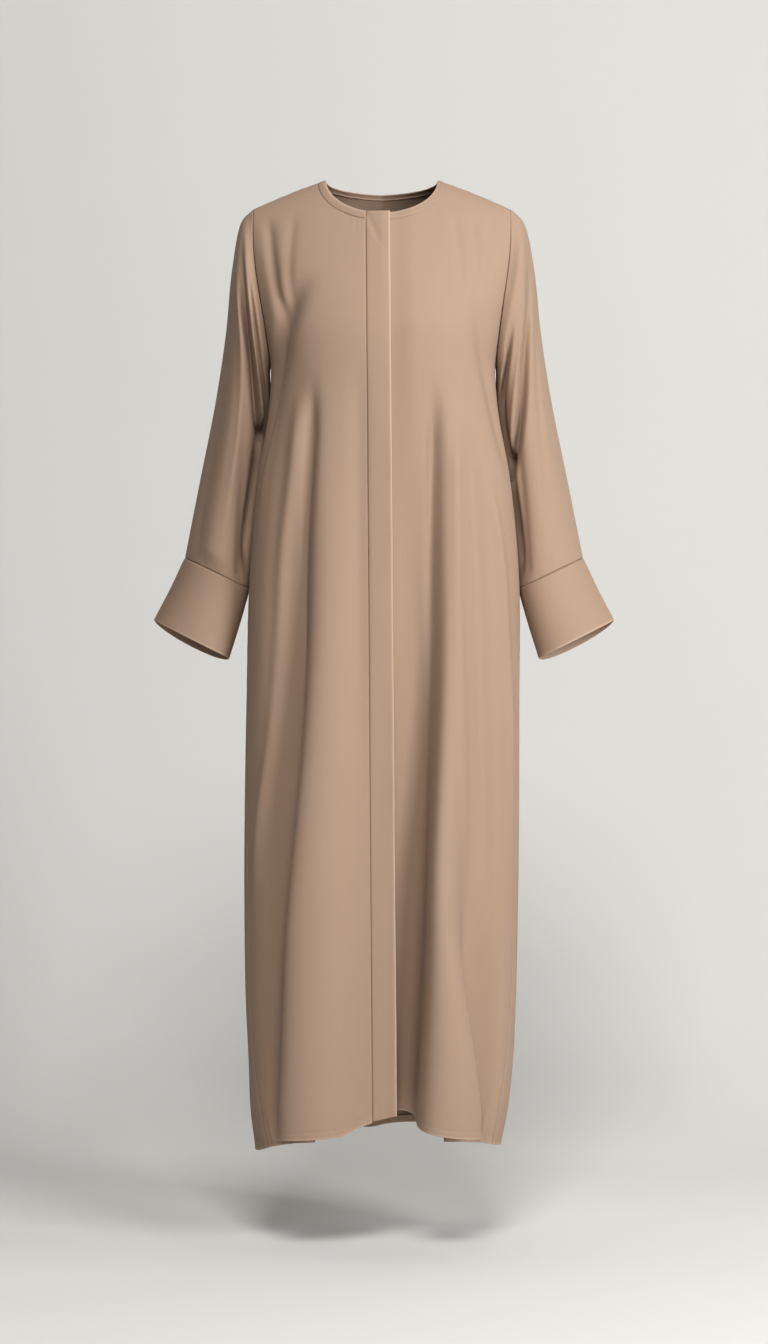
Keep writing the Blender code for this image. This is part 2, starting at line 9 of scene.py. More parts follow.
import bpy
import numpy as np
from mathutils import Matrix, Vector


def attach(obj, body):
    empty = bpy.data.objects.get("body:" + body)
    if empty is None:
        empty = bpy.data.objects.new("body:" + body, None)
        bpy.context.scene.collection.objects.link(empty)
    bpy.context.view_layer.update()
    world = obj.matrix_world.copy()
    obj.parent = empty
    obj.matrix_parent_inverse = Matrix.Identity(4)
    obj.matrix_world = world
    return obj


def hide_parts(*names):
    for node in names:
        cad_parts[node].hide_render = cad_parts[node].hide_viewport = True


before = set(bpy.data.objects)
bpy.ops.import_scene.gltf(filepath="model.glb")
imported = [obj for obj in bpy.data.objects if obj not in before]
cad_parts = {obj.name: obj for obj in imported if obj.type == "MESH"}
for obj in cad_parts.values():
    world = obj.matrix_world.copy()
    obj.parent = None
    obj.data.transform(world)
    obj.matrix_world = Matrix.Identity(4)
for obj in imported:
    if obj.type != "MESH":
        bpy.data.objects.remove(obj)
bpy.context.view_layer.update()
bpy.ops.object.select_all(action="DESELECT")

# Cloth, in layers
CLOTH_THICK = 0.0006
BAND_CLOTH_THICK = 0.0006
HEM_ROLL, HEM_FACING = 0.0008, 0.0100
HEM_STITCH_UP = 0.0092
BAND_ROLL = 0.0009
CUFF_ROLL = 0.0010
SEAM_DIP, SEAM_SOFTNESS = 0.0007, 0.0014
SPLIT = 0.00015

# Sewing: stitches, the grooves they press (deep, wide), and the small waves beside each seam
# (high, how far in they fade, how far in from the seam they reach their height)
STITCH_LONG, STITCH_WIDE, STITCH_HIGH, STITCH_PITCH = 0.0024, 0.00042, 0.00036, 0.0031
STITCH_LOOK = 0.001
PLACKET_STITCH_IN = 0.0020
BINDING_STITCH_UP = 0.0016
CUFF_STITCHES_DOWN = (0.0018, 0.0056)
GROOVES = {
    "hem": (0.0004, 0.0012),
    "placket": (0.0004, 0.0009),
    "binding_seam": (0.0003, 0.0008),
    "binding": (0.0002, 0.0008),
    "cuff": (0.0004, 0.0010),
}
SEAM_WAVES = {
    "hem": (0.0006, 0.013, 0.0),
    "side": (0.0005, 0.010, 0.004),
    "shoulder": (0.0005, 0.014, 0.004),
    "placket": (0.00035, 0.006, 0.0),
    "placket_foot": (0.0005, 0.012, 0.0),
    "armhole": (0.0005, 0.016, 0.004),
    "sleeve_foot": (0.0005, 0.014, 0.003),
    "cuff": (0.0005, 0.010, 0.002),
    "cuff_edge": (0.0006, 0.020, 0.0),
}
WAVE_LENGTHS = ((0.0115, 1.7), (0.0170, 2.9), (0.0263, 0.6))  # each with how far a seed turns it
SWELL_LENGTH = 0.21
HEM_BAND_PROUD = 0.0003
# Painted highlight: how strongly a lighter colour is painted along the rolled edges of the hem, the bands
# and the cuffs and along the sleeve's foot, and how wide it spreads from the edge
HEM_HIGHLIGHT, BAND_HIGHLIGHT, CUFF_HIGHLIGHT, SLEEVE_FOOT_HIGHLIGHT = 0.8, 0.9, 0.8, 0.25
EDGE_HIGHLIGHT_WIDTH = 0.0016

# Puckers at the hem's corners, and gathers below the binding
PUCKER_DEEP, PUCKER_PITCH, PUCKER_PHASE = 0.0009, 0.0105, 0.6
PUCKER_IN, PUCKER_SPREAD, PUCKER_UP, PUCKER_CLEAR = 0.024, 0.020, 0.040, 0.006
GATHER_WIDE = 0.0016
GATHER_COLUMNS = ("across", "slant", "long", "deep")
NECK_GATHERS = (
    (-0.0520, 0.10, 0.017, 0.0007),
    (-0.0466, 0.06, 0.022, 0.0009),
    (-0.0418, 0.03, 0.016, 0.0008),
    (-0.0372, 0.02, 0.024, 0.0010),
    (-0.0322, -0.02, 0.015, 0.0007),
    (-0.0274, -0.05, 0.019, 0.0008),
)

# Neck, shoulder and armhole
NECK_SEAM_HALF, NECK_EDGE_HALF = 0.0895, 0.0795
NECK_SIDE_SEAM_DROP = 0.004
FRONT_NECK_SEAM_DROP, FRONT_NECK_EDGE_DROP = 0.065, 0.055
BACK_NECK_SEAM_DROP, BACK_NECK_EDGE_DROP = 0.018, 0.011
SHOULDER_DROP, SHOULDER_CURVE = 0.040, 1.15
NECK_SLOPE = 0.30
FRONT_ROUNDING, BACK_ROUNDING, ROUNDING_POWER = 0.24, 0.17, 0.55
ARMHOLE_HALF_DEPTH = 0.055
UNDERARM_DROP = 0.262

# Placket
PLACKET_SEAM_TOP, PLACKET_SEAM_HEM = -0.0223, -0.0124
PLACKET_WIDTH = 0.0336
PLACKET_PROUD = 0.0006
PLACKET_TOP_DROP, PLACKET_FOOT_DROP, PLACKET_FOOT_RISE = 0.0525, 1.316, 0.007
# The pulled crease at the placket's top, and the waves of its free edge: high, long, phase, fade
DRAG_ACROSS, DRAG_DOWN = 0.023, 0.062
DRAG_DEEP, DRAG_WIDE, DRAG_LONG, DRAG_FADES, DRAG_CLEAR = 0.0012, 0.0045, 0.068, 0.030, 0.004
PLACKET_EDGE_WAVES = ((0.0007, 0.37, 1.0, 0.010), (0.0004, 0.113, 0.0, 0.007))
UNDERLAP_WIDTH, UNDERLAP_DEPTH, UNDERLAP_FADE = 0.031, 0.0045, 0.035
BINDING_PROUD, BINDING_SWELL, BINDING_FACE, BINDING_WAVES = 0.0007, 0.0004, 0.010, 0.0003
BINDING_LAP, NECK_LAP = 0.06, 0.25  # in binding widths: over the panels, and of the panels into its fold

BODY_ROUNDNESS = 2.4
HEM_LEVEL = 1.34
HEM_BLEND = 8.0  # degrees either side of centre front where the two hems meet
FOLD_COLUMN_SETTLES, TOP_EDGE_SETTLES = 0.25, 0.2  # drops over which the grid leaves its top edge

SECTION_COLUMNS = ("drop", "half_right", "half_left", "front", "back")
SECTIONS = np.array(
    [
        (0.000, 0.212, 0.212, 0.088, 0.112),
        (0.040, 0.206, 0.206, 0.098, 0.108),
        (0.110, 0.195, 0.195, 0.115, 0.112),
        (0.150, 0.187, 0.187, 0.123, 0.115),
        (0.220, 0.168, 0.170, 0.134, 0.114),
        (0.262, 0.158, 0.161, 0.133, 0.111),
        (0.310, 0.159, 0.163, 0.130, 0.108),
        (0.425, 0.176, 0.182, 0.125, 0.106),
        (0.552, 0.187, 0.194, 0.124, 0.112),
        (0.737, 0.192, 0.195, 0.126, 0.118),
        (1.035, 0.195, 0.193, 0.128, 0.120),
        (1.163, 0.193, 0.190, 0.130, 0.120),
        (1.248, 0.189, 0.186, 0.132, 0.120),
        (1.319, 0.186, 0.178, 0.134, 0.118),
        (1.372, 0.179, 0.167, 0.134, 0.114),
    ]
)

SEAM_COLUMNS = ("drop", "right", "left")
SEAMS = np.array(
    [
        (0.262, 90, 90),
        (0.550, 90, 90),
        (0.950, 77, 77),
        (1.190, 75, 73),
        (1.260, 72, 70),
        (1.320, 67, 67),
        (1.372, 63, 65),
    ]
)

HEM_COLUMNS = ("angle", "right", "left")
HEM = np.array(
    [
        (0, 1.315, 1.305),
        (12, 1.322, 1.307),
        (22, 1.334, 1.322),
        (32, 1.338, 1.336),
        (43, 1.343, 1.343),
        (58, 1.355, 1.352),
        (75, 1.368, 1.361),
        (95, 1.372, 1.367),
        (120, 1.366, 1.364),
        (150, 1.358, 1.358),
        (180, 1.354, 1.354),
    ]
)

FOLD_COLUMNS = ("panel", "top", "middle", "hem", "start", "full", "depth", "width", "tuck", "raised")
FOLDS = (
    ("right", -43, -43.5, -46, 0.20, 1.10, 0.060, 0.0175, 3.0, "inner"),
    ("right", -22, -24, -27, 0.40, 1.30, 0.012, 0.050, 0.0, ""),
    ("left", 46, 42, 45, 0.75, 1.32, 0.050, 0.019, 3.0, "inner"),
    ("left", 31, 28.5, 19, 0.18, 1.05, 0.054, 0.0140, 1.3, "outer"),
    ("left", 22, 18, 10, 0.30, 1.25, -0.010, 0.024, 0.0, ""),
    ("back", -128, -131, -134, 0.30, 1.25, -0.020, 0.024, 0.0, ""),
    ("back", -158, -155, -151, 0.20, 1.20, 0.022, 0.026, 0.0, ""),
    ("back", -176, -174, -171, 0.35, 1.30, -0.026, 0.022, 0.0, ""),
    ("back", 168, 166, 163, 0.30, 1.15, 0.018, 0.028, 0.0, ""),
    ("back", 140, 143, 146, 0.45, 1.30, 0.044, 0.018, 2.4, "inner"),
    ("back", 121, 118, 116, 0.40, 1.25, -0.010, 0.026, 0.0, ""),
)
FOLD_MIDDLE = 0.85
SEAM_CALM = 0.045
TUCK_SPREAD = 1.5
TUCK_LATENESS = 3  # a fold tucks under later on its way down than it deepens

# Creases: soft troughs and ridges along a path of (drop, angle), each fading out at its two ends
CREASE_COLUMNS = ("panel", "depth", "width", "fade_top", "fade_foot", "path")
CREASES = (
    ("right", -0.0060, 0.0085, 0.04, 0.06, ((0.045, -67), (0.13, -62), (0.23, -57))),
    ("right", -0.0022, 0.0070, 0.04, 0.06, ((0.040, -55), (0.12, -53.5), (0.21, -52))),
    ("right", -0.0130, 0.0190, 0.07, 0.14, ((0.130, -44), (0.22, -57), (0.30, -70), (0.46, -80))),
    ("right", 0.0036, 0.0090, 0.08, 0.20, ((0.200, -52), (0.30, -66), (0.38, -70), (0.55, -74))),
    (
        "right", -0.0110, 0.0095, 0.10, 0.30,
        ((0.280, -40), (0.38, -42), (0.52, -44.7), (0.67, -45.6), (0.90, -46.5), (1.20, -48.5)),
    ),
    (
        "right", 0.0060, 0.0110, 0.08, 0.20,
        ((0.300, -49), (0.38, -51), (0.52, -56), (0.67, -58), (0.81, -62), (0.95, -70), (1.12, -74)),
    ),
    ("right", -0.0028, 0.0130, 0.10, 0.25, ((0.250, -13.5), (0.45, -14.2), (0.62, -14), (0.90, -13))),
    ("left", -0.0024, 0.0070, 0.03, 0.07, ((0.050, 47), (0.12, 46.5), (0.20, 46))),
    ("left", -0.0028, 0.0070, 0.03, 0.07, ((0.045, 55), (0.12, 54.5), (0.19, 53))),
    ("left", -0.0024, 0.0075, 0.03, 0.07, ((0.045, 63), (0.11, 62), (0.17, 60))),
    ("left", -0.0070, 0.0170, 0.06, 0.14, ((0.160, 50), (0.24, 60), (0.32, 71), (0.46, 80))),
    (
        "left", -0.0120, 0.0095, 0.10, 0.35,
        ((0.290, 31), (0.40, 31.2), (0.52, 31), (0.67, 31), (0.81, 29.5), (0.98, 27), (1.20, 23)),
    ),
    (
        "left", 0.0040, 0.0080, 0.10, 0.20,
        ((0.330, 43), (0.52, 42.5), (0.66, 43), (0.88, 45.5), (1.06, 47.4)),
    ),
    (
        "left", -0.0060, 0.0125, 0.10, 0.25,
        ((0.340, 51), (0.52, 53), (0.67, 54.5), (0.85, 56.5), (1.09, 60)),
    ),
    (
        "left", 0.0050, 0.0090, 0.10, 0.20,
        ((0.400, 59), (0.52, 65), (0.67, 68.5), (0.78, 72), (0.95, 75), (1.08, 75)),
    ),
    ("back", -0.0060, 0.0120, 0.05, 0.12, ((0.060, -124), (0.20, -119), (0.36, -112))),
    ("back", -0.0055, 0.0120, 0.05, 0.12, ((0.060, 126), (0.20, 120), (0.34, 113))),
    ("back", 0.0040, 0.0100, 0.08, 0.20, ((0.260, -140), (0.50, -143), (0.84, -141))),
    ("back", 0.0042, 0.0095, 0.08, 0.20, ((0.300, 152), (0.62, 154), (0.98, 155))),
)

SLEEVE_COLUMNS = (
    "place", "outer_x", "outer_drop", "inner_x", "inner_drop", "half_depth", "inner_back", "outer_back"
)
SLEEVE_RINGS = np.array(
    [
        (0.00, 0.184, 0.040, 0.159, 0.262, 0.058, 0.000, 0.000),
        (0.10, 0.2015, 0.060, 0.1595, 0.272, 0.066, 0.006, 0.010),
        (0.22, 0.2135, 0.121, 0.1585, 0.290, 0.072, 0.022, 0.028),
        (0.40, 0.224, 0.210, 0.1590, 0.330, 0.075, 0.044, 0.056),
        (0.60, 0.240, 0.310, 0.1705, 0.395, 0.074, 0.050, 0.072),
        (0.80, 0.262, 0.420, 0.1805, 0.480, 0.064, 0.044, 0.074),
        (1.00, 0.2835, 0.533, 0.1890, 0.578, 0.052, 0.030, 0.064),
    ]
)
CUFF_RINGS = np.array(
    [
        (0.00, 0.2835, 0.533, 0.1890, 0.578, 0.052, 0.030, 0.064),
        (0.50, 0.3040, 0.578, 0.2025, 0.627, 0.050, 0.018, 0.056),
        (1.00, 0.3262, 0.622, 0.2175, 0.676, 0.046, 0.008, 0.046),
    ]
)
CUFF_GAP = 0.0002
CUFF_PROUD = 0.0006
CUFF_FACING = 0.94
CUFF_BACK_DROP = 0.012
LEFT_ARM_REACH = 0.006
ARMHOLE_FADE = 0.22
SLEEVE_ROW_CROWDING = 0.5
HEAD_EASE, HEAD_SPREAD = 0.2, 1.4
ARMHOLE_GAP, SHOULDER_SEAM_GAP = 0.0001, 0.0001

# Sleeve folds and creases: each follows a path of (place, angle from the outer line, front positive)
SLEEVE_FOLD_COLUMNS = ("side", "start", "full", "end", "depth", "width", "path")
SLEEVE_FOLDS = (
    ("right", 0.05, 0.28, 0.80, -0.026, 13, ((0.10, 49), (0.29, 90), (0.41, 111), (0.56, 149))),
    ("right", 0.10, 0.40, 0.95, 0.006, 24, ((0.10, 30), (0.50, 72), (1.00, 84))),
    ("right", 0.15, 0.50, 0.95, -0.011, 20, ((0.00, -70), (1.00, -92))),
    ("right", 0.05, 0.22, 0.60, -0.012, 12, ((0.05, 78), (0.20, 112), (0.34, 138), (0.45, 158))),
    ("left", 0.08, 0.33, 0.88, -0.019, 13, ((0.16, 34), (0.36, 70), (0.58, 120), (0.69, 160))),
    ("left", 0.12, 0.30, 0.75, -0.014, 12, ((0.20, 112), (0.35, 136), (0.50, 152))),
    ("left", 0.15, 0.55, 0.95, -0.012, 20, ((0.00, -80), (1.00, -70))),
    ("right", 0.12, 0.30, 0.62, 0.0035, 7, ((0.15, 32), (0.30, 66), (0.45, 84), (0.62, 96))),
    ("right", 0.10, 0.22, 0.42, 0.004, 16, ((0.10, 92), (0.25, 120), (0.40, 140))),
    ("right", 0.50, 0.75, 0.97, -0.0035, 10, ((0.50, 100), (0.75, 118), (1.00, 134))),
    ("right", 0.30, 0.60, 0.92, -0.0025, 11, ((0.30, 36), (1.00, 50))),
    ("right", 0.20, 0.55, 0.90, -0.003, 12, ((0.00, -40), (1.00, -36))),
    ("right", 0.30, 0.60, 0.92, -0.004, 10, ((0.30, -120), (1.00, -132))),
    ("left", 0.12, 0.30, 0.70, 0.0035, 8, ((0.16, 58), (0.36, 92), (0.58, 138))),
    ("left", 0.20, 0.45, 0.80, -0.0030, 9, ((0.16, 10), (0.36, 40), (0.60, 66), (0.80, 80))),
    ("left", 0.45, 0.70, 0.95, -0.0030, 10, ((0.45, 108), (0.70, 124), (1.00, 136))),
    ("left", 0.20, 0.50, 0.90, -0.003, 12, ((0.00, -44), (1.00, -38))),
    ("left", 0.30, 0.60, 0.92, -0.004, 10, ((0.30, -116), (1.00, -128))),
)

# Grids: quads across and down each piece
FRONT_INNER, FRONT_OUTER, BODY_ROWS = 56, 54, 260
BACK_HALF_COLUMNS = 92
SLEEVE_ROUND, SLEEVE_ROWS = 132, 150
CUFF_ROWS, CUFF_FACING_ROWS = 36, 18
PLACKET_FACE_COLUMNS, PLACKET_UNDER_COLUMNS = 14, 8
BINDING_ROWS = 7
COLUMN_CROWDING, ROW_CROWDING = 1.25, 0.76
ROLL_STEPS = 5

SIGN = {"right": -1.0, "left": 1.0}


# ---- The form ----------------------------------------------------------------------------------


def smooth(t):
    """Ease from 0 to 1 as t goes from 0 to 1."""
    t = np.clip(t, 0.0, 1.0)
    return t * t * (3.0 - 2.0 * t)


def bump(distance, width):
    """1 on a line, falling off smoothly to either side."""
    return np.exp(-((distance / width) ** 2))


def curve(places, values, at):
    """The smooth curve through the values at the rising places, read at the given places."""
    places, values = np.asarray(places, float), np.asarray(values, float)
    slopes = np.gradient(values, places)
    at = np.clip(at, places[0], places[-1])
    i = np.clip(np.searchsorted(places, at, side="right") - 1, 0, len(places) - 2)
    span = places[i + 1] - places[i]
    t = (at - places[i]) / span
    start = (1 + 2 * t) * (1 - t) ** 2 * values[i] + t * (1 - t) ** 2 * span * slopes[i]
    end = t * t * (3 - 2 * t) * values[i + 1] + t * t * (t - 1) * span * slopes[i + 1]
    return start + end


def read(table, columns, name, at):
    return curve(table[:, 0], table[:, columns.index(name)], at)


def section(name, drop):
    return read(SECTIONS, SECTION_COLUMNS, name, drop)


def half_width(side, drop):
    return section("half_" + side, drop)


def ring_y(side, face, x, drop):
    out = np.clip(np.abs(x) / half_width(side, drop), 0, 1)
    return section(face, drop) * (1 - out**BODY_ROUNDNESS) ** (1 / BODY_ROUNDNESS)


def shoulder_end_x():
    ratio = ARMHOLE_HALF_DEPTH / section("front", SHOULDER_DROP)
    return half_width("left", SHOULDER_DROP) * (1 - ratio**BODY_ROUNDNESS) ** (1 / BODY_ROUNDNESS)


SHOULDER_END = float(shoulder_end_x())


def ridge_drop(x):
    """How far below the neck point the top of the shoulder is, at a distance out from the middle."""
    along = (np.abs(x) - NECK_EDGE_HALF) / (SHOULDER_END - NECK_EDGE_HALF)
    outside = SHOULDER_DROP * np.clip(along, 0, None) ** SHOULDER_CURVE
    return outside - NECK_SLOPE * np.clip(NECK_EDGE_HALF - np.abs(x), 0, None)


def armhole_angle(side, face, drop):
    middle = (SHOULDER_DROP + UNDERARM_DROP) / 2
    reach = (UNDERARM_DROP - SHOULDER_DROP) / 2
    below = np.clip((drop - middle) / reach, 0, 1)
    depth = ARMHOLE_HALF_DEPTH * np.sqrt(1 - below**2)
    if face == "back":
        depth = depth * section("back", SHOULDER_DROP) / section("front", SHOULDER_DROP)
    ratio = np.clip(depth / section(face, drop), 0, 1)
    x = half_width(side, drop) * (1 - ratio**BODY_ROUNDNESS) ** (1 / BODY_ROUNDNESS)
    return np.degrees(np.arctan2(x, depth))


def side_edge(side, face, drop):
    """The angle of a panel's outer edge, down the armhole and then the side seam."""
    seam = read(SEAMS, SEAM_COLUMNS, side, drop)
    if face == "back":
        seam = 180 - seam
    arm = armhole_angle(side, face, np.maximum(drop, SHOULDER_DROP))
    return np.where(drop < UNDERARM_DROP, arm, seam)


def fold_angle(fold, drop):
    return curve((0.0, FOLD_MIDDLE, HEM_LEVEL), (fold["top"], fold["middle"], fold["hem"]), drop)


def clear_of_seam(panel, angle, drop, radius):
    """0 on the side seam, rising to 1 a little way in from it, so that the panels meet there."""
    if panel == "back":
        edge = np.where(angle < 0, side_edge("right", "back", drop), side_edge("left", "back", drop))
        inside = edge - (180 - np.abs(angle))
    else:
        inside = side_edge(panel, "front", drop) - np.abs(angle)
    return smooth(np.radians(inside) * radius / SEAM_CALM)


def fold_moves(panel, angle, drop, radius):
    """How far the folds push the cloth outwards, and how far they slide it round the body."""
    outward, round_body = np.zeros_like(angle), np.zeros_like(angle)
    calm = clear_of_seam(panel, angle, drop, radius)
    for row in FOLDS:
        fold = dict(zip(FOLD_COLUMNS, row))
        if fold["panel"] != panel:
            continue
        grown = calm * smooth((drop - fold["start"]) / (fold["full"] - fold["start"]))
        turned = (angle - fold_angle(fold, drop) + 180) % 360 - 180
        away = np.radians(turned) * radius / fold["width"]
        if not fold["raised"]:
            outward += fold["depth"] * grown * np.exp(-(away**2))
            continue
        facing = math.copysign(1.0, fold["hem"]) * (-1.0 if fold["raised"] == "inner" else 1.0)
        if panel == "back":
            facing = -facing
        raised = away * facing
        spread = raised / TUCK_SPREAD
        outward += fold["depth"] / 2 * grown * spread * np.exp((1 - spread**2) / 2)
        tucked = fold["tuck"] * fold["width"] * grown**TUCK_LATENESS
        round_body -= facing * tucked * raised * np.exp(-(raised**2) / 2)
    return outward, round_body


def crease_moves(panel, angle, drop, radius):
    """How far the small creases push the cloth outwards."""
    outward = np.zeros_like(angle)
    calm = clear_of_seam(panel, angle, drop, radius)
    for row in CREASES:
        crease = dict(zip(CREASE_COLUMNS, row))
        if crease["panel"] != panel:
            continue
        drops, angles = zip(*crease["path"])
        shown = smooth((drop - drops[0]) / crease["fade_top"])
        shown = shown * smooth((drops[-1] - drop) / crease["fade_foot"]) * calm
        turned = (angle - curve(drops, angles, drop) + 180) % 360 - 180
        outward += crease["depth"] * shown * bump(np.radians(turned) * radius, crease["width"])
    return outward


def body_points(panel, angle, drop):
    """Points of a panel's outer face at the given angles and drops."""
    angle, drop = np.broadcast_arrays(np.asarray(angle, float), np.asarray(drop, float))

    def plain(at):
        turn = np.radians(at)
        half = np.where(turn < 0, half_width("right", drop), half_width("left", drop))
        depth = np.where(np.cos(turn) > 0, section("front", drop), section("back", drop))
        across, ahead = np.abs(np.sin(turn)) / half, np.abs(np.cos(turn)) / depth
        radius = (across**BODY_ROUNDNESS + ahead**BODY_ROUNDNESS) ** (-1 / BODY_ROUNDNESS)
        x, y = radius * np.sin(turn), -radius * np.cos(turn)
        rounding = np.where(np.cos(turn) > 0, FRONT_ROUNDING, BACK_ROUNDING)
        below = np.clip((drop - ridge_drop(x)) / rounding, 0, 1)
        return x, y * (1 - (1 - below) ** 2) ** ROUNDING_POWER, radius

    wrapped = (angle + 180) % 360 - 180
    x, y, radius = plain(wrapped)
    step = 0.5
    x_on, y_on, _ = plain(wrapped + step)
    x_off, y_off, _ = plain(wrapped - step)
    along = np.stack([x_on - x_off, y_on - y_off], -1)
    along /= np.maximum(np.linalg.norm(along, axis=-1, keepdims=True), 1e-9)
    outward, round_body = fold_moves(panel, wrapped, drop, radius)
    outward = outward + crease_moves(panel, wrapped, drop, radius)
    if panel == "left":
        under = (x - placket_edge(drop)) / UNDERLAP_FADE
        outward -= UNDERLAP_DEPTH * (1 - smooth(under))
    x = x + along[..., 1] * outward + along[..., 0] * round_body
    y = y - along[..., 0] * outward + along[..., 1] * round_body
    y = y + (SPLIT if panel == "back" else -SPLIT)
    return np.stack([x, y, -drop * np.ones_like(x)], -1)


def placket_seam(drop):
    down = np.clip((drop - FRONT_NECK_EDGE_DROP) / (HEM_LEVEL - FRONT_NECK_EDGE_DROP), 0, 1)
    return PLACKET_SEAM_TOP + (PLACKET_SEAM_HEM - PLACKET_SEAM_TOP) * down


def placket_edge(drop):
    return placket_seam(drop) + PLACKET_WIDTH


def angle_at(side, face, x, drop):
    return np.degrees(np.arctan2(np.abs(x), ring_y(side, face, x, drop)))


def hem_drop(angle):
    """How far down the hem is at an angle round the body."""
    angle = (np.asarray(angle, float) + 180) % 360 - 180
    right = read(HEM, HEM_COLUMNS, "right", np.abs(angle))
    left = read(HEM, HEM_COLUMNS, "left", np.abs(angle))
    on_front = np.all(np.abs(angle) < 90)
    share = smooth((angle + HEM_BLEND) / (2 * HEM_BLEND)) if on_front else angle > 0
    return right + (left - right) * share


def main_fold_angle(side, drop):
    """The angle of a front's main fold, which its grid's middle column follows down from the neck."""
    neck = float(angle_at(side, "front", NECK_SEAM_HALF, NECK_SIDE_SEAM_DROP))
    folds = [dict(zip(FOLD_COLUMNS, row)) for row in FOLDS]
    fold = next(fold for fold in folds if fold["panel"] == side and fold["raised"] == "inner")
    below = smooth((drop - NECK_SIDE_SEAM_DROP) / FOLD_COLUMN_SETTLES)
    return neck + (np.abs(fold_angle(fold, drop)) - neck) * below


def inner_edge(side, drop):
    """The angle of a front's edge at the closing: the placket's seam, or the underlap's free edge."""
    if side == "right":
        x = placket_seam(drop)
    else:
        x = placket_edge(drop) - UNDERLAP_WIDTH
    return np.degrees(np.arctan2(x, section("front", drop)))


def row_places(count):
    """Places from the top edge (0) to the hem (1), crowded at both ends."""
    even = np.linspace(0, 1, count + 1)
    return even - ROW_CROWDING * np.sin(2 * np.pi * even) / (2 * np.pi)


def front_angles(side, columns, drop):
    centre = inner_edge(side, drop)
    fold = SIGN[side] * main_fold_angle(side, drop)
    edge = SIGN[side] * side_edge(side, "front", drop)
    inner, outer = np.clip(-columns, 0, 1), np.clip(columns, 0, 1)
    return fold + (centre - fold) * inner + (edge - fold) * outer


def neck_curve(face, turn, place):
    """Across and drop of a point on the neckline: place 0 is the seam, and 1 the bound edge."""
    seam_drop, edge_drop = {
        "front": (FRONT_NECK_SEAM_DROP, FRONT_NECK_EDGE_DROP),
        "back": (BACK_NECK_SEAM_DROP, BACK_NECK_EDGE_DROP),
    }[face]
    half = NECK_SEAM_HALF + (NECK_EDGE_HALF - NECK_SEAM_HALF) * place
    side = NECK_SIDE_SEAM_DROP * (1 - place)
    middle = seam_drop + (edge_drop - seam_drop) * place
    return half * np.sin(turn), side + (middle - side) * np.cos(turn)


def neck_turns(side, face, columns, place=0.0):
    start = 0.0
    half = NECK_SEAM_HALF + (NECK_EDGE_HALF - NECK_SEAM_HALF) * place
    if face == "front":
        centre = PLACKET_SEAM_TOP
        if side == "left":
            centre = PLACKET_SEAM_TOP + PLACKET_WIDTH - UNDERLAP_WIDTH
        start = math.asin(SIGN[side] * centre / half)
    return start + (math.pi / 2 - start) * np.clip(1 + columns, 0, 1)


def top_edge(side, face, columns):
    """Across and drop of a panel's top edge: the neckline, then the shoulder seam."""
    neck_x, neck_drop = neck_curve(face, neck_turns(side, face, columns, NECK_LAP), NECK_LAP)
    shoulder_x = NECK_SEAM_HALF + (SHOULDER_END - NECK_SEAM_HALF) * np.clip(columns, 0, 1)
    on_neck = columns < 0
    return (
        np.where(on_neck, neck_x, shoulder_x),
        np.where(on_neck, neck_drop, ridge_drop(shoulder_x)),
    )


def crowded(inner, outer):
    """Columns from -1 to 1, closer together near the main fold at 0."""
    left = -(np.linspace(1, 0, inner + 1) ** COLUMN_CROWDING)
    right = np.linspace(0, 1, outer + 1) ** COLUMN_CROWDING
    return np.concatenate([left, right[1:]])


def half_panel(side, face, columns):
    """Angles and drops of a panel's grid, rows down and columns from its middle to its side."""
    x, top = top_edge(side, face, columns)
    signed = SIGN[side] * angle_at(side, face, x, top)
    signed = np.where(x < 0, -signed, signed)

    def angles(drop):
        if face == "front":
            return front_angles(side, columns, drop)
        edge = side_edge(side, "back", drop)
        fold = edge * 0.5
        inner, outer = np.clip(-columns, 0, 1), np.clip(columns, 0, 1)
        return SIGN[side] * (fold - fold * inner + (edge - fold) * outer)

    off_top = signed - angles(top)
    to_front = (lambda a: a) if face == "front" else (lambda a: SIGN[side] * 180 - a)
    hem = np.full_like(columns, HEM_LEVEL)
    for _ in range(4):
        hem = hem_drop(to_front(angles(hem)))
    drops = top + (hem - top) * row_places(BODY_ROWS)[:, None]
    settled = smooth((drops - top) / TOP_EDGE_SETTLES)
    turned = angles(drops) + off_top * (1 - settled)
    return to_front(turned), drops


def panel_columns(side, face):
    if face == "back":
        return np.linspace(-1, 1, 2 * (BACK_HALF_COLUMNS // 2) + 1)
    return crowded(FRONT_INNER, FRONT_OUTER)


def oval_ring(rings, side, place, turn, reach):
    """Points round a sleeve or cuff, at places down it and turns from its outer line."""
    outer_x, outer_drop, inner_x, inner_drop, half_depth, inner_back, outer_back = (
        read(rings, SLEEVE_COLUMNS, name, place) for name in SLEEVE_COLUMNS[1:]
    )
    middle_x, middle_drop = (outer_x + inner_x) / 2, (outer_drop + inner_drop) / 2
    x = middle_x + (outer_x - inner_x) / 2 * np.cos(turn)
    drop = middle_drop + (outer_drop - inner_drop) / 2 * np.cos(turn)
    x = x + LEFT_ARM_REACH * reach * (side == "left")
    hung_back = (inner_back + outer_back) / 2 + (outer_back - inner_back) / 2 * np.cos(turn)
    y = hung_back - half_depth * np.sin(turn)
    return np.stack([SIGN[side] * x, y, -drop], -1)


def armhole_loop(side, turn):
    """The armhole's edge on the body's panels, at turns from the shoulder."""
    middle, reach = (SHOULDER_DROP + UNDERARM_DROP) / 2, (UNDERARM_DROP - SHOULDER_DROP) / 2
    drop = middle - reach * np.cos(turn)
    front = body_points(side, SIGN[side] * side_edge(side, "front", drop), drop)
    back = body_points("back", SIGN[side] * (180 - side_edge(side, "back", drop)), drop)
    loop = np.where((np.sin(turn) > 0)[..., None], front, back)
    gap = ARMHOLE_GAP + SHOULDER_SEAM_GAP * (1 + np.cos(turn)) / 2
    loop[..., 0] += SIGN[side] * gap
    return loop


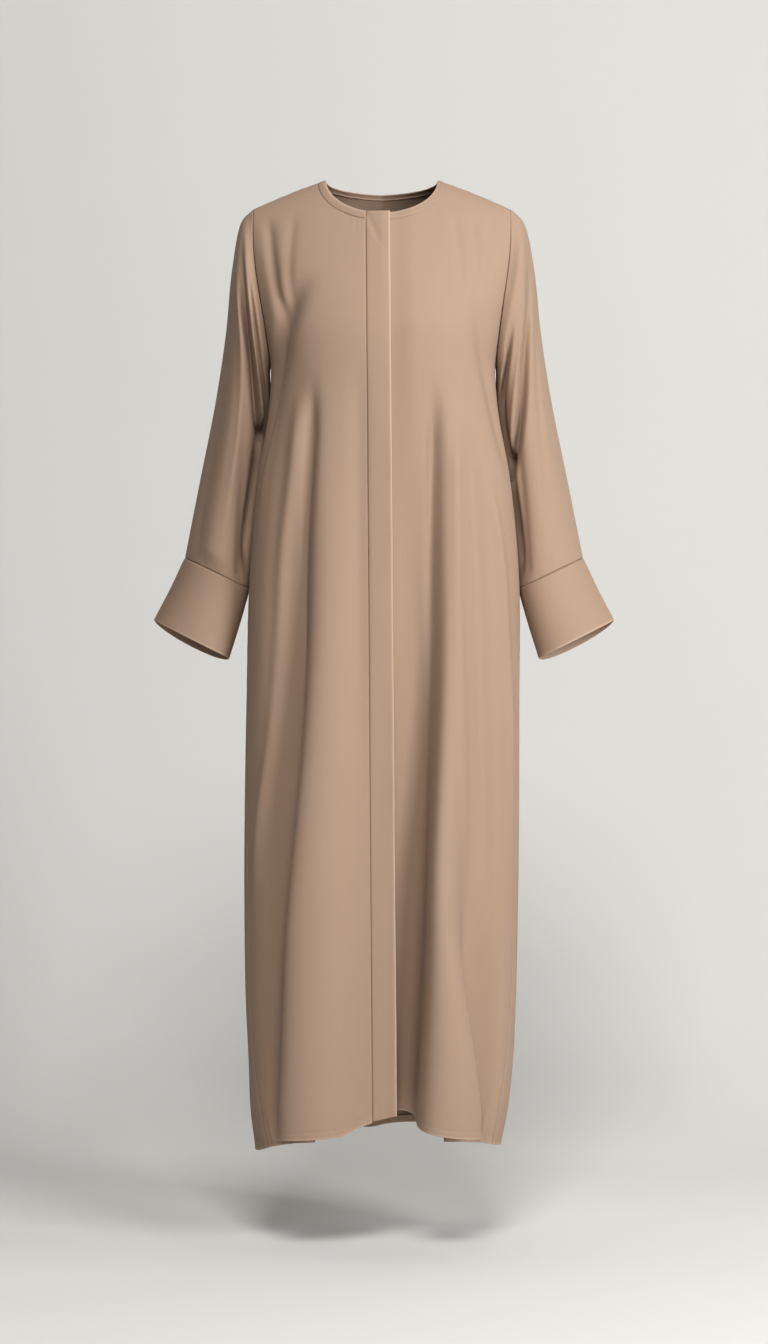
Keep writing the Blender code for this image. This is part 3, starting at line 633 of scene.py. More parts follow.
# ---- Cloth work --------------------------------------------------------------------------------


def face_normals(points, closed_round=False):
    """Outward normals of a grid whose columns run towards the wearer's left across the front."""
    down = np.gradient(points, axis=0)
    across = np.gradient(points, axis=1)
    if closed_round:
        across[:, 0] = across[:, -1] = points[:, 1] - points[:, -2]
    normal = np.cross(down, across)
    return normal / np.maximum(np.linalg.norm(normal, axis=-1, keepdims=True), 1e-12)


def run_lengths(points, axis):
    """Length along the grid's rows or columns, from the first point of each."""
    steps = np.linalg.norm(np.diff(points, axis=axis), axis=-1)
    start = np.zeros_like(np.take(steps, [0], axis=axis))
    return np.concatenate([start, np.cumsum(steps, axis=axis)], axis=axis)


def to_far_edge(lengths, axis):
    return np.take(lengths, [-1], axis=axis) - lengths


def ripple(along, seed):
    """Uneven small waves along a stitched line, between about -1 and 1."""
    waves = sum(np.sin(2 * np.pi * along / length + seed * turn) for length, turn in WAVE_LENGTHS)
    swell = 0.6 + 0.4 * np.sin(2 * np.pi * along / SWELL_LENGTH + seed)
    return waves / len(WAVE_LENGTHS) * swell


def seam_waves(seam, along, seed, distance):
    """The small waves beside a seam, fading with distance from it."""
    high, fades, grows = SEAM_WAVES[seam]
    waves = high * ripple(along, seed) * np.exp(-distance / fades)
    return waves * smooth(distance / grows) if grows else waves


def groove(seam, distance):
    """The groove that a line of stitches presses into the cloth."""
    deep, wide = GROOVES[seam]
    return -deep * bump(distance, wide)


def seam_dip(distance, share=1.0):
    """How far cloth turns in as it nears a seam."""
    return -SEAM_DIP * share * bump(distance, SEAM_SOFTNESS)


def moved(points, normal, outward):
    return points + normal * outward[..., None]


def rolled(points, normal, facing_rows, radius):
    """The grid with its last edge turned under: a round fold, then a facing on the inside."""
    ahead = points[-1] - points[-2]
    ahead /= np.maximum(np.linalg.norm(ahead, axis=-1, keepdims=True), 1e-12)
    turns = np.linspace(0, np.pi, ROLL_STEPS + 1)[1:]
    roll = [
        points[-1] + ahead * radius * math.sin(turn) - normal[-1] * radius * (1 - math.cos(turn))
        for turn in turns
    ]
    facing = [points[-1 - k] - normal[-1 - k] * 2 * radius for k in facing_rows]
    return np.concatenate([points, roll, facing])


def facing_steps(points, depth, count):
    """Rows of the grid, counted up from its last one, that a facing of this depth follows."""
    rise = to_far_edge(run_lengths(points, 0), 0).mean(axis=1)[::-1]
    return sorted({max(1, int(np.searchsorted(rise, d))) for d in np.linspace(0, depth, count + 1)[1:]})


def cloth_piece(name, points, edge_light, thick, material, closed_round=False):
    """One sheet of cloth from its grid of points, with its cut in metres as its UV map."""
    rows, columns = points.shape[0] - 1, points.shape[1] - 1
    kept = columns if closed_round else columns + 1
    row, column = np.meshgrid(np.arange(rows), np.arange(columns), indexing="ij")
    corners = ((row, column), (row + 1, column), (row + 1, column + 1), (row, column + 1))
    faces = np.stack([r * kept + c % kept for r, c in corners], -1).reshape(-1, 4)
    mesh = bpy.data.meshes.new(name)
    mesh.from_pydata(points[:, :kept].reshape(-1, 3).tolist(), [], faces.tolist())
    cut = np.stack([run_lengths(points, 1), -run_lengths(points, 0)], -1)
    loops = np.stack([cut[r, c] for r, c in corners], -2).reshape(-1)
    mesh.uv_layers.new(name="cut").data.foreach_set("uv", loops.astype(np.float32))
    # Each point's share of the painted highlight along the rolled edges
    edge = mesh.attributes.new("edge_highlight", "FLOAT", "POINT")
    edge.data.foreach_set("value", edge_light[:, :kept].reshape(-1).astype(np.float32))
    mesh.shade_smooth()
    mesh.materials.append(material)
    obj = bpy.data.objects.new(name, mesh)
    bpy.context.scene.collection.objects.link(obj)
    wall = obj.modifiers.new("Thickness", "SOLIDIFY")
    wall.thickness = thick
    wall.offset = -1.0
    bpy.context.view_layer.objects.active = obj
    obj.select_set(True)
    bpy.ops.object.modifier_apply(modifier=wall.name)
    obj.select_set(False)
    return obj


def one_stitch():
    """A single stitch of thread, lying along X: its points and faces."""
    bpy.ops.mesh.primitive_uv_sphere_add(segments=6, ring_count=4, radius=1.0)
    stitch = bpy.context.active_object
    bpy.ops.object.mode_set(mode="EDIT")
    bpy.ops.mesh.select_all(action="SELECT")
    bpy.ops.transform.rotate(value=math.pi / 2, orient_axis="Y", center_override=(0, 0, 0))
    bpy.ops.transform.resize(value=(STITCH_LONG / 2, STITCH_WIDE / 2, STITCH_HIGH / 2))
    bpy.ops.object.mode_set(mode="OBJECT")
    points = np.array([v.co for v in stitch.data.vertices])
    faces = [list(p.vertices) for p in stitch.data.polygons]
    bpy.data.objects.remove(stitch, do_unlink=True)
    return points, faces


STITCH_POINTS, STITCH_FACES = one_stitch()


def stitches(name, lines, material):
    """Rows of stitches, joined: each line is its points on the cloth and the normals there."""
    points, faces = [], []
    for path, normal in lines:
        along = np.concatenate([[0], np.cumsum(np.linalg.norm(np.diff(path, axis=0), axis=1))])
        count = int(along[-1] / STITCH_PITCH)
        at = (np.arange(count) + 0.5) * along[-1] / count
        centre = np.stack([np.interp(at, along, path[:, k]) for k in range(3)], -1)
        up = np.stack([np.interp(at, along, normal[:, k]) for k in range(3)], -1)
        ahead = np.stack([np.interp(at + STITCH_LOOK, along, path[:, k]) for k in range(3)], -1)
        ahead -= np.stack([np.interp(at - STITCH_LOOK, along, path[:, k]) for k in range(3)], -1)
        ahead /= np.linalg.norm(ahead, axis=1, keepdims=True)
        beside = np.cross(up, ahead)
        beside /= np.linalg.norm(beside, axis=1, keepdims=True)
        up = np.cross(ahead, beside)
        for c, a, b, u in zip(centre, ahead, beside, up):
            start = len(points) * len(STITCH_POINTS)
            points.append(c + STITCH_POINTS @ np.array([a, b, u]))
            faces += [[start + k for k in face] for face in STITCH_FACES]
    mesh = bpy.data.meshes.new(name)
    mesh.from_pydata(np.concatenate(points).tolist(), [], faces)
    mesh.shade_smooth()
    mesh.materials.append(material)
    obj = bpy.data.objects.new(name, mesh)
    bpy.context.scene.collection.objects.link(obj)
    return obj


def line_at(length, lengths, grid):
    """What a grid holds where each of its columns has run a set length."""
    columns = range(grid.shape[1])
    return np.array([[np.interp(length, lengths[:, c], grid[:, c, k]) for k in range(3)] for c in columns])


def line_up(points, normal, height):
    """The line across a grid that lies a set length above its last row, and the normals there."""
    rise = to_far_edge(run_lengths(points, 0), 0)[::-1]
    return line_at(height, rise, points[::-1]), line_at(height, rise, normal[::-1])


# ---- Finishes ----------------------------------------------------------------------------------

CLOTH_COLOUR = (0.345, 0.244, 0.180, 1.0)
BAND_COLOUR = (0.337, 0.238, 0.175, 1.0)
THREAD_COLOUR = (0.400, 0.278, 0.205, 1.0)
# The lighter colour below is a painted highlight along the rolled edges
EDGE_HIGHLIGHT_COLOUR = (0.475, 0.345, 0.262, 1.0)
CLOTH_SHINE = {
    "Specular IOR Level": 0.34,
    "Sheen Weight": 0.06,
    "Sheen Roughness": 0.45,
    "Sheen Tint": (1.0, 0.93, 0.87, 1.0),
}
THREAD_SHINE = {"Roughness": 0.5, "Sheen Weight": 0.1}
CLOTH_RELIEF = (("Strength", 0.55), ("Distance", 0.00016))
THREAD_RELIEF = (("Strength", 0.5), ("Distance", 0.00008))

# The weave on the flat cut, in metres. Each noise has its scale and detail, and how much it is
# drawn out down the cut. Shares and tones say how much each adds.
THREAD_SPACING, PLY_SPACING, PLY_SHADE = 0.00062, 0.0004, 0.86
WAVE_PERIOD = math.pi / 10
WARP_WOBBLE, WEFT_WOBBLE, THREAD_DETAIL, THREAD_DETAIL_SCALE = 2.2, 2.8, 2.0, 1.6
PEBBLES, PEBBLE_STRETCH = (1250.0, 2.0), 0.62
CRINKLES, CRINKLE_STRETCH = (210.0, 3.0), 0.35
SLUBS, SLUB_STRETCH = (420.0, 2.0), 0.03
MOTTLES = (7.0, 4.0)
NOISE_ROUGHNESS = 0.6
WEAVE_SHARE, PEBBLE_SHARE, CRINKLE_SHARE = 0.45, 0.55, 0.5
# How much darker the colour is painted where the weave's relief is low: painted shade in its hollows,
# lighter on the raised threads
WEAVE_HOLLOW_SHADE, MOTTLED_ROUGHNESS = 0.16, 0.12


def node(tree, kind, links=(), **values):
    """A node of a kind, with its settings, its unlinked inputs' values and its links in."""
    made = tree.nodes.new(kind)
    for name, value in values.items():
        setattr(made, name, value)
    for socket, source in links:
        if hasattr(source, "is_output"):
            tree.links.new(source, made.inputs[socket])
        else:
            made.inputs[socket].default_value = source
    return made


def crepe_group():
    """The crepe's fine pebbled weave, with its slubs and mottling, painted shade in the weave's hollows,
    and a painted highlight along its rolled edges.
    """
    tree = bpy.data.node_groups.new("crepe weave", "ShaderNodeTree")
    face = tree.interface
    for name, kind, value in (
        ("Cut", "NodeSocketVector", None),
        ("Body", "NodeSocketVector", None),
        ("Cloth", "NodeSocketColor", CLOTH_COLOUR),
        # The second colour and its share per point: the painted highlight along the rolled edges
        ("Highlight Colour", "NodeSocketColor", EDGE_HIGHLIGHT_COLOUR),
        ("Edge Highlight", "NodeSocketFloat", 0.0),
        ("Thread Scale", "NodeSocketFloat", WAVE_PERIOD / THREAD_SPACING),
        ("Mottling", "NodeSocketFloat", 0.05),
        ("Slubs", "NodeSocketFloat", 0.05),
        ("Roughness", "NodeSocketFloat", 0.8),
    ):
        socket = face.new_socket(name, in_out="INPUT", socket_type=kind)
        if value is not None:
            socket.default_value = value
    face.new_socket("Color", in_out="OUTPUT", socket_type="NodeSocketColor")
    face.new_socket("Roughness", in_out="OUTPUT", socket_type="NodeSocketFloat")
    face.new_socket("Height", in_out="OUTPUT", socket_type="NodeSocketFloat")
    given = tree.nodes.new("NodeGroupInput").outputs
    out = tree.nodes.new("NodeGroupOutput")

    def threads(direction, wobble):
        return node(
            tree, "ShaderNodeTexWave", wave_type="BANDS", bands_direction=direction,
            links=(("Vector", given["Cut"]), ("Scale", given["Thread Scale"]), ("Distortion", wobble),
                   ("Detail", THREAD_DETAIL), ("Detail Scale", THREAD_DETAIL_SCALE)),
        ).outputs["Fac"]

    def maths(operation, first, second):
        return node(tree, "ShaderNodeMath", operation=operation, links=((0, first), (1, second))).outputs[0]

    def noise(vector, scale, detail):
        links = (("Vector", vector), ("Scale", scale), ("Detail", detail), ("Roughness", NOISE_ROUGHNESS))
        return node(tree, "ShaderNodeTexNoise", links=links).outputs["Fac"]

    def stretched(down):
        links = (("Vector", given["Cut"]), ("Scale", (1.0, down, 1.0)))
        return node(tree, "ShaderNodeMapping", links=links).outputs[0]

    def varied(amount, texture):
        """1, give or take the amount, as the texture goes from dark to light."""
        return maths("ADD", maths("MULTIPLY", maths("SUBTRACT", texture, 0.5), amount), 1.0)

    weave = maths("MULTIPLY", threads("X", WARP_WOBBLE), threads("Y", WEFT_WOBBLE))
    pebble = noise(stretched(PEBBLE_STRETCH), *PEBBLES)
    fine = maths("ADD", maths("MULTIPLY", weave, WEAVE_SHARE), maths("MULTIPLY", pebble, PEBBLE_SHARE))
    crinkle = noise(stretched(CRINKLE_STRETCH), *CRINKLES)
    height = maths("ADD", fine, maths("MULTIPLY", crinkle, CRINKLE_SHARE))

    slub = noise(stretched(SLUB_STRETCH), *SLUBS)
    mottle = noise(given["Body"], *MOTTLES)
    tone = maths("MULTIPLY", varied(given["Slubs"], slub), varied(given["Mottling"], mottle))
    # Painted shade: darker where the weave's relief is low, lighter on its raised threads
    tone = maths("MULTIPLY", tone, varied(WEAVE_HOLLOW_SHADE, fine))
    # Painted highlight: the cloth turns to the lighter colour along its rolled edges
    highlighted = node(tree, "ShaderNodeMix", data_type="RGBA", links=(("Factor", given["Edge Highlight"]),))
    for socket, source in (("A", given["Cloth"]), ("B", given["Highlight Colour"])):
        colour_in = next(i for i in highlighted.inputs if i.name == socket and i.type == "RGBA")
        tree.links.new(source, colour_in)
    highlighted_colour = next(o for o in highlighted.outputs if o.type == "RGBA")
    scaled = ((0, highlighted_colour), ("Scale", tone))
    shaded = node(tree, "ShaderNodeVectorMath", operation="SCALE", links=scaled)
    rough = maths("MULTIPLY", given["Roughness"], varied(MOTTLED_ROUGHNESS, mottle))
    tree.links.new(shaded.outputs[0], out.inputs["Color"])
    tree.links.new(rough, out.inputs["Roughness"])
    tree.links.new(height, out.inputs["Height"])
    return tree


def plain_finish(name, shine):
    """A new material with its node tree and its shader, whose plain values are set."""
    material = bpy.data.materials.new(name)
    material.use_nodes = True
    shader = material.node_tree.nodes["Principled BSDF"]
    for socket, value in shine.items():
        shader.inputs[socket].default_value = value
    return material, material.node_tree, shader


def two_tones(tree, texture, dark, light):
    """A colour from dark to light as the texture rises."""
    ramp = node(tree, "ShaderNodeValToRGB", links=(("Fac", texture),))
    ramp.color_ramp.elements[0].color = dark
    ramp.color_ramp.elements[1].color = light
    return ramp.outputs["Color"]


def cloth_finish(name, colour, roughness, slubs):
    material, tree, shader = plain_finish(name, CLOTH_SHINE)
    cut = node(tree, "ShaderNodeUVMap", uv_map="cut")
    places = node(tree, "ShaderNodeTexCoord")
    # Reads each point's share of the painted edge highlight
    edge = node(tree, "ShaderNodeAttribute", attribute_name="edge_highlight")
    crepe = node(
        tree, "ShaderNodeGroup", node_tree=CREPE,
        links=(("Cut", cut.outputs["UV"]), ("Body", places.outputs["Object"]), ("Cloth", colour),
               ("Edge Highlight", edge.outputs["Fac"]), ("Slubs", slubs), ("Roughness", roughness)),
    )
    relief = node(tree, "ShaderNodeBump", links=CLOTH_RELIEF + (("Height", crepe.outputs["Height"]),))
    tree.links.new(crepe.outputs["Color"], shader.inputs["Base Color"])
    tree.links.new(crepe.outputs["Roughness"], shader.inputs["Roughness"])
    tree.links.new(relief.outputs["Normal"], shader.inputs["Normal"])
    return material


def thread_finish():
    material, tree, shader = plain_finish("sewing thread", THREAD_SHINE)
    places = node(tree, "ShaderNodeTexCoord").outputs["Object"]
    ply = node(
        tree, "ShaderNodeTexWave", bands_direction="DIAGONAL",
        links=(("Vector", places), ("Scale", WAVE_PERIOD / PLY_SPACING), ("Distortion", 1.0)),
    ).outputs["Fac"]
    dark = tuple(PLY_SHADE * c for c in THREAD_COLOUR[:3]) + (1.0,)
    relief = node(tree, "ShaderNodeBump", links=THREAD_RELIEF + (("Height", ply),))
    tree.links.new(two_tones(tree, ply, dark, THREAD_COLOUR), shader.inputs["Base Color"])
    tree.links.new(relief.outputs["Normal"], shader.inputs["Normal"])
    return material


CREPE = crepe_group()
crepe = cloth_finish("crepe", CLOTH_COLOUR, 0.80, 0.05)
crepe_bands = cloth_finish("pressed double crepe", BAND_COLOUR, 0.76, 0.04)
thread = thread_finish()


# ---- Pieces ------------------------------------------------------------------------------------


def hem_relief(from_hem, across, seed):
    """The hem's doubled band, its stitched groove and its slight roping."""
    above = from_hem - HEM_STITCH_UP
    band = HEM_BAND_PROUD * (1 - smooth(above / GROOVES["hem"][1]))
    return band + groove("hem", above) + seam_waves("hem", across, seed, from_hem)


def corner_puckers(from_hem, from_side):
    """Fine upright puckers where the hem bunches beside the side seam."""
    waves = np.sin(2 * np.pi * from_side / PUCKER_PITCH + PUCKER_PHASE)
    waves = waves * bump(from_side - PUCKER_IN, PUCKER_SPREAD) * smooth(from_side / PUCKER_CLEAR)
    return PUCKER_DEEP * waves * bump(from_hem, PUCKER_UP)


def body_cloth(name, points, from_sides, on_shoulder, seed, material, extra=0.0):
    """A front or the back, with its seams pressed in and its hem turned up and stitched."""
    normal = face_normals(points)
    across, down = run_lengths(points, 1), run_lengths(points, 0)
    from_hem = to_far_edge(down, 0)
    outward = hem_relief(from_hem, across, seed) + extra + seam_dip(down)
    for from_side in from_sides:
        outward = outward + seam_dip(from_side) + corner_puckers(from_hem, from_side)
        outward = outward + seam_waves("side", down, seed + 2, from_side)
    outward = outward + seam_waves("shoulder", across, seed + 5, down) * on_shoulder
    points = moved(points, normal, outward)
    normal = face_normals(points)
    hem_line = line_up(points, normal, HEM_STITCH_UP)
    # Painted highlight along the rolled hem
    edge_light = HEM_HIGHLIGHT * bump(from_hem, EDGE_HIGHLIGHT_WIDTH)
    facing = facing_steps(points, HEM_FACING, 5)
    whole = rolled(points, normal, facing, HEM_ROLL)
    edge_light = np.concatenate([edge_light, np.repeat(edge_light[-1:], len(whole) - len(points), axis=0)])
    return cloth_piece(name, whole, edge_light, CLOTH_THICK, material), hem_line


def front_cloth(side, material):
    columns = panel_columns(side, "front")
    angle, drop = half_panel(side, "front", columns)
    points = body_points(side, angle, drop)
    if side == "right":
        points, columns = points[:, ::-1], columns[::-1]
    across, down = run_lengths(points, 1), run_lengths(points, 0)
    from_side = across if side == "right" else to_far_edge(across, 1)
    extra = np.zeros_like(across)
    if side == "right":
        extra += seam_dip(to_far_edge(across, 1), 0.5)
        for row in NECK_GATHERS:
            gather = dict(zip(GATHER_COLUMNS, row))
            line = points[..., 0] - gather["across"] - gather["slant"] * down
            extra -= gather["deep"] * bump(line, GATHER_WIDE) * bump(down, gather["long"])
    on_shoulder = (columns > 0)[None, :]
    name = f"front_{side}_cloth"
    return body_cloth(name, points, [from_side], on_shoulder, SIGN[side] + 2, material, extra)


def back_cloth(material):
    halves = []
    for side in ("left", "right"):
        angle, drop = half_panel(side, "back", panel_columns(side, "back"))
        halves.append(body_points("back", angle, drop))
    left, right = halves
    points = np.concatenate([left[:, ::-1], right[:, 1:]], axis=1)
    across = run_lengths(points, 1)
    columns = panel_columns("left", "back")
    on_shoulder = np.concatenate([columns[::-1] > 0, columns[1:] > 0])[None, :]
    return body_cloth("back_cloth", points, [across, to_far_edge(across, 1)], on_shoulder, 4.0, material)


def placket_cloth(material):
    """The fly band: its face, the round fold of its free edge and its turned-under half."""
    rows = row_places(BODY_ROWS)[:, None]
    places = np.linspace(0, 1, PLACKET_FACE_COLUMNS + 1)[None, :]
    drop = PLACKET_TOP_DROP + (PLACKET_FOOT_DROP - PLACKET_TOP_DROP) * rows + 0 * places
    x = placket_seam(drop) + (PLACKET_WIDTH - BAND_ROLL) * places
    drop = drop - PLACKET_FOOT_RISE * places * rows**6
    angle = np.degrees(np.arctan2(x, section("front", drop)))
    face = body_points("right", angle, drop)
    normal = face_normals(face)
    across, down = run_lengths(face, 1), run_lengths(face, 0)
    from_edge = to_far_edge(across, 1)
    drag = bump(across - DRAG_ACROSS * down / DRAG_DOWN, DRAG_WIDE)
    drag = drag * smooth(down / DRAG_CLEAR) * smooth((DRAG_LONG - down) / DRAG_FADES)
    outward = (
        PLACKET_PROUD
        + seam_dip(across, 0.6)
        + groove("placket", across - PLACKET_STITCH_IN)
        + seam_waves("placket", down, 1.0, across)
        - DRAG_DEEP * drag
        + seam_waves("placket_foot", across * 1.3, 7.0, to_far_edge(down, 0))
    )
    for high, length, phase, fades in PLACKET_EDGE_WAVES:
        outward = outward + high * np.sin(2 * np.pi * down / length + phase) * np.exp(-from_edge / fades)
    face = moved(face, normal, outward)
    normal = face_normals(face)
    turned_face, turned_normal = face.swapaxes(0, 1), normal.swapaxes(0, 1)
    under = range(1, PLACKET_UNDER_COLUMNS + 1)
    whole = rolled(turned_face, turned_normal, under, BAND_ROLL).swapaxes(0, 1)
    # Painted highlight along the placket's rolled free edge
    edge_light = BAND_HIGHLIGHT * bump(from_edge, EDGE_HIGHLIGHT_WIDTH)
    edge_light = np.concatenate([edge_light, np.repeat(edge_light[:, -1:], whole.shape[1] - face.shape[1], axis=1)], axis=1)
    seam = [line_at(PLACKET_STITCH_IN, across.T, grid) for grid in (turned_face, turned_normal)]
    foot = line_up(face, normal, HEM_STITCH_UP)
    return cloth_piece("placket_cloth", whole, edge_light, BAND_CLOTH_THICK, material), [seam, foot]


def binding_cloth(material):
    """The neck's self binding, folded over the neck edge."""
    runs = (("right", "front", 1), ("right", "back", -1), ("left", "back", 1), ("left", "front", -1))
    strips = []
    for side, face, step in runs:
        columns = panel_columns(side, face)
        panel = side if face == "front" else "back"
        strip = []
        for place in np.linspace(1, -BINDING_LAP, BINDING_ROWS + 1):
            turns = neck_turns(side, face, columns[columns <= 0], place)[::step]
            x, drop = neck_curve(face, turns, place)
            angle = SIGN[side] * angle_at(side, face, x, drop) * np.where(x < 0, -1, 1)
            angle = angle if face == "front" else SIGN[side] * 180 - angle
            strip.append(body_points(panel, angle, drop))
        strips.append(np.array(strip))
    for before, after in zip(strips, strips[1:]):
        joint = (before[:, -1] + after[:, 0]) / 2
        before[:, -1] = joint
        after[:, 0] = joint
    points = np.concatenate([strips[0]] + [strip[:, 1:] for strip in strips[1:]], axis=1)[:, ::-1]
    normal = face_normals(points)
    across, down = run_lengths(points, 1), run_lengths(points, 0)
    from_seam = to_far_edge(down, 0)
    outward = BINDING_PROUD + BINDING_SWELL * np.sin(np.pi * np.clip(down / BINDING_FACE, 0, 1))
    outward = outward + groove("binding_seam", from_seam) + groove("binding", from_seam - BINDING_STITCH_UP)
    outward = outward + BINDING_WAVES * ripple(across, 3.0)
    points = moved(points, normal, outward)
    normal = face_normals(points)
    line = line_up(points, normal, BINDING_STITCH_UP)
    inside = range(1, BINDING_ROWS)
    whole = rolled(points[::-1], normal[::-1], inside, BAND_ROLL)[::-1]
    # Painted highlight along the binding's rolled neck edge
    edge_light = BAND_HIGHLIGHT * bump(down, EDGE_HIGHLIGHT_WIDTH)
    edge_light = np.concatenate([np.repeat(edge_light[:1], len(whole) - len(points), axis=0), edge_light])
    return cloth_piece("neck_binding_cloth", whole, edge_light, BAND_CLOTH_THICK, material), [line]


def sleeve_cloth(side, material):
    turns = np.radians(np.linspace(-180, 180, SLEEVE_ROUND + 1))[None, :]
    even = np.linspace(0, 1, SLEEVE_ROWS + 1)
    places = (even - SLEEVE_ROW_CROWDING * np.sin(2 * np.pi * even) / (2 * np.pi))[:, None]
    place, turn = np.broadcast_arrays(places, turns)
    reach = 0.5 + 0.5 * place
    points = oval_ring(SLEEVE_RINGS, side, place, turn, reach)
    off = armhole_loop(side, turns) - points[:1]
    points = points + off * (1 - smooth(place / ARMHOLE_FADE))[..., None]
    middle = points[:, :-1].mean(axis=1, keepdims=True)
    outward = points - middle
    outward /= np.linalg.norm(outward, axis=-1, keepdims=True)
    pushed = np.zeros_like(place)
    for row in SLEEVE_FOLDS:
        fold = dict(zip(SLEEVE_FOLD_COLUMNS, row))
        if fold["side"] != side:
            continue
        grown = smooth((place - fold["start"]) / (fold["full"] - fold["start"]))
        grown = grown * smooth((1 - place) / (1 - fold["end"]))
        at = curve(*zip(*fold["path"]), place)
        turned = (np.degrees(turn) - at + 180) % 360 - 180
        pushed = pushed + fold["depth"] * grown * np.exp(-((turned / fold["width"]) ** 2))
    points = points + outward * pushed[..., None]
    if side == "left":
        points, turn = points[:, ::-1], turn[:, ::-1]
    normal = face_normals(points, closed_round=True)
    across, down = run_lengths(points, 1), run_lengths(points, 0)
    from_cuff = to_far_edge(down, 0)
    from_underarm = np.minimum(across, to_far_edge(across, 1))
    ease = HEAD_EASE + smooth(np.cos(turn) * HEAD_SPREAD)
    relief = seam_dip(down) + seam_dip(from_cuff) + seam_dip(from_underarm, 0.6)
    relief = relief + ease * seam_waves("armhole", across, 6.0, down)
    relief = relief + seam_waves("sleeve_foot", across, 8.0, from_cuff)
    points = moved(points, normal, relief)
    points[:, -1] = points[:, 0]
    # A faint painted highlight along the sleeve's foot, at the cuff seam
    edge_light = SLEEVE_FOOT_HIGHLIGHT * bump(from_cuff, EDGE_HIGHLIGHT_WIDTH)
    return cloth_piece(f"sleeve_{side}_cloth", points, edge_light, CLOTH_THICK, material, closed_round=True)


def cuff_cloth(side, material):
    turns = np.radians(np.linspace(-180, 180, SLEEVE_ROUND + 1))[None, :]
    places = np.linspace(0, 1, CUFF_ROWS + 1)[:, None]
    place, turn = np.broadcast_arrays(places, turns)
    points = oval_ring(CUFF_RINGS, side, place, turn, 1.0)
    points[..., 2] -= CUFF_GAP * (1 - place)
    points[..., 2] -= CUFF_BACK_DROP * place * np.clip(-np.sin(turn), 0, 1)
    if side == "left":
        points = points[:, ::-1]
    normal = face_normals(points, closed_round=True)
    across, down = run_lengths(points, 1), run_lengths(points, 0)
    from_edge = to_far_edge(down, 0)
    from_underarm = np.minimum(across, to_far_edge(across, 1))
    relief = CUFF_PROUD + seam_dip(down, 1.4) + seam_dip(from_underarm, 0.5)
    for stitched in CUFF_STITCHES_DOWN:
        relief = relief + groove("cuff", down - stitched)
    relief = relief + seam_waves("cuff", across, 9.0, down)
    relief = relief + seam_waves("cuff_edge", across * 0.45, 2.0, from_edge)
    points = moved(points, normal, relief)
    points[:, -1] = points[:, 0]
    normal = face_normals(points, closed_round=True)
    height = float(down[-1].mean())
    lines = [line_up(points, normal, height - stitched) for stitched in CUFF_STITCHES_DOWN]
    facing = [round((k + 1) * CUFF_ROWS * CUFF_FACING / CUFF_FACING_ROWS) for k in range(CUFF_FACING_ROWS)]
    whole = rolled(points, normal, facing, CUFF_ROLL)
    # Painted highlight along the cuff's rolled lower edge
    edge_light = CUFF_HIGHLIGHT * bump(from_edge, EDGE_HIGHLIGHT_WIDTH)
    edge_light = np.concatenate([edge_light, np.repeat(edge_light[-1:], len(whole) - len(points), axis=0)])
    name = f"cuff_{side}_cloth"
    return cloth_piece(name, whole, edge_light, BAND_CLOTH_THICK, material, closed_round=True), lines


def placed(piece, node_name):
    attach(piece, "root")
    if node_name:
        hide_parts(node_name)
    return piece


def sewn(name, lines):
    rows = stitches(name, lines, thread)
    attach(rows, "root")
    return rows


for wearer_side in ("right", "left"):
    front, hem_line = front_cloth(wearer_side, crepe)
    placed(front, f"front_{wearer_side}")
    hem = sewn(f"front_{wearer_side}_hem_stitches", [hem_line])

    sleeve = placed(sleeve_cloth(wearer_side, crepe), f"sleeve_{wearer_side}")

    cuff, cuff_lines = cuff_cloth(wearer_side, crepe_bands)
    placed(cuff, f"cuff_{wearer_side}")
    cuff_rows = sewn(f"cuff_{wearer_side}_stitches", cuff_lines)

back, back_hem_line = back_cloth(crepe)
placed(back, "back")
back_hem = sewn("back_hem_stitches", [back_hem_line])

placket, placket_lines = placket_cloth(crepe_bands)
placed(placket, "placket")
placket_rows = sewn("placket_stitches", placket_lines)

binding, binding_lines = binding_cloth(crepe_bands)
placed(binding, "neck_binding")
binding_rows = sewn("neck_binding_stitches", binding_lines)


# ---- Stage, light and camera -------------------------------------------------------------------

FLOOR_DROP = 1.50
FLOOR_AHEAD = 7.0
WALL_BEHIND = 2.2
WALL_HIGH = 5.5
STAGE_HALF_WIDTH = 5.0
SWEEP_RADIUS, SWEEP_STEPS = 1.6, 40
PAPER_SHINE = {"Roughness": 0.9, "Specular IOR Level": 0.1}
PAPER_DARK, PAPER_LIGHT = (0.690, 0.688, 0.672, 1.0), (0.705, 0.703, 0.687, 1.0)
PAPER_GRAIN = 3.0

MIDDLE = Vector((0.003, 0.0, -0.697))
# Lights: name, place, what it faces, width and height, watts, colour
LIGHTS = (
    ("key", (2.6, -2.9, 0.7), MIDDLE, (1.6, 1.7), 114, (1.0, 0.995, 0.985)),
    ("front", (0.0, -3.1, 2.0), MIDDLE, (1.2, 1.0), 96, (1.0, 0.99, 0.975)),
    ("side", (3.2, -0.3, 0.2), MIDDLE, (1.2, 2.4), 20, (1.0, 0.99, 0.98)),
    ("backdrop wash", (-0.4, 0.4, 3.2), (-0.2, 2.2, 0.2), (4.0, 1.2), 20, (1.0, 1.0, 0.99)),
)
WORLD_COLOUR, WORLD_STRENGTH = (1.0, 0.90, 0.80, 1.0), 0.03
CAMERA_LENS, CAMERA_SENSOR, CAMERA_BACK = 84.9, 36.0, 4.5


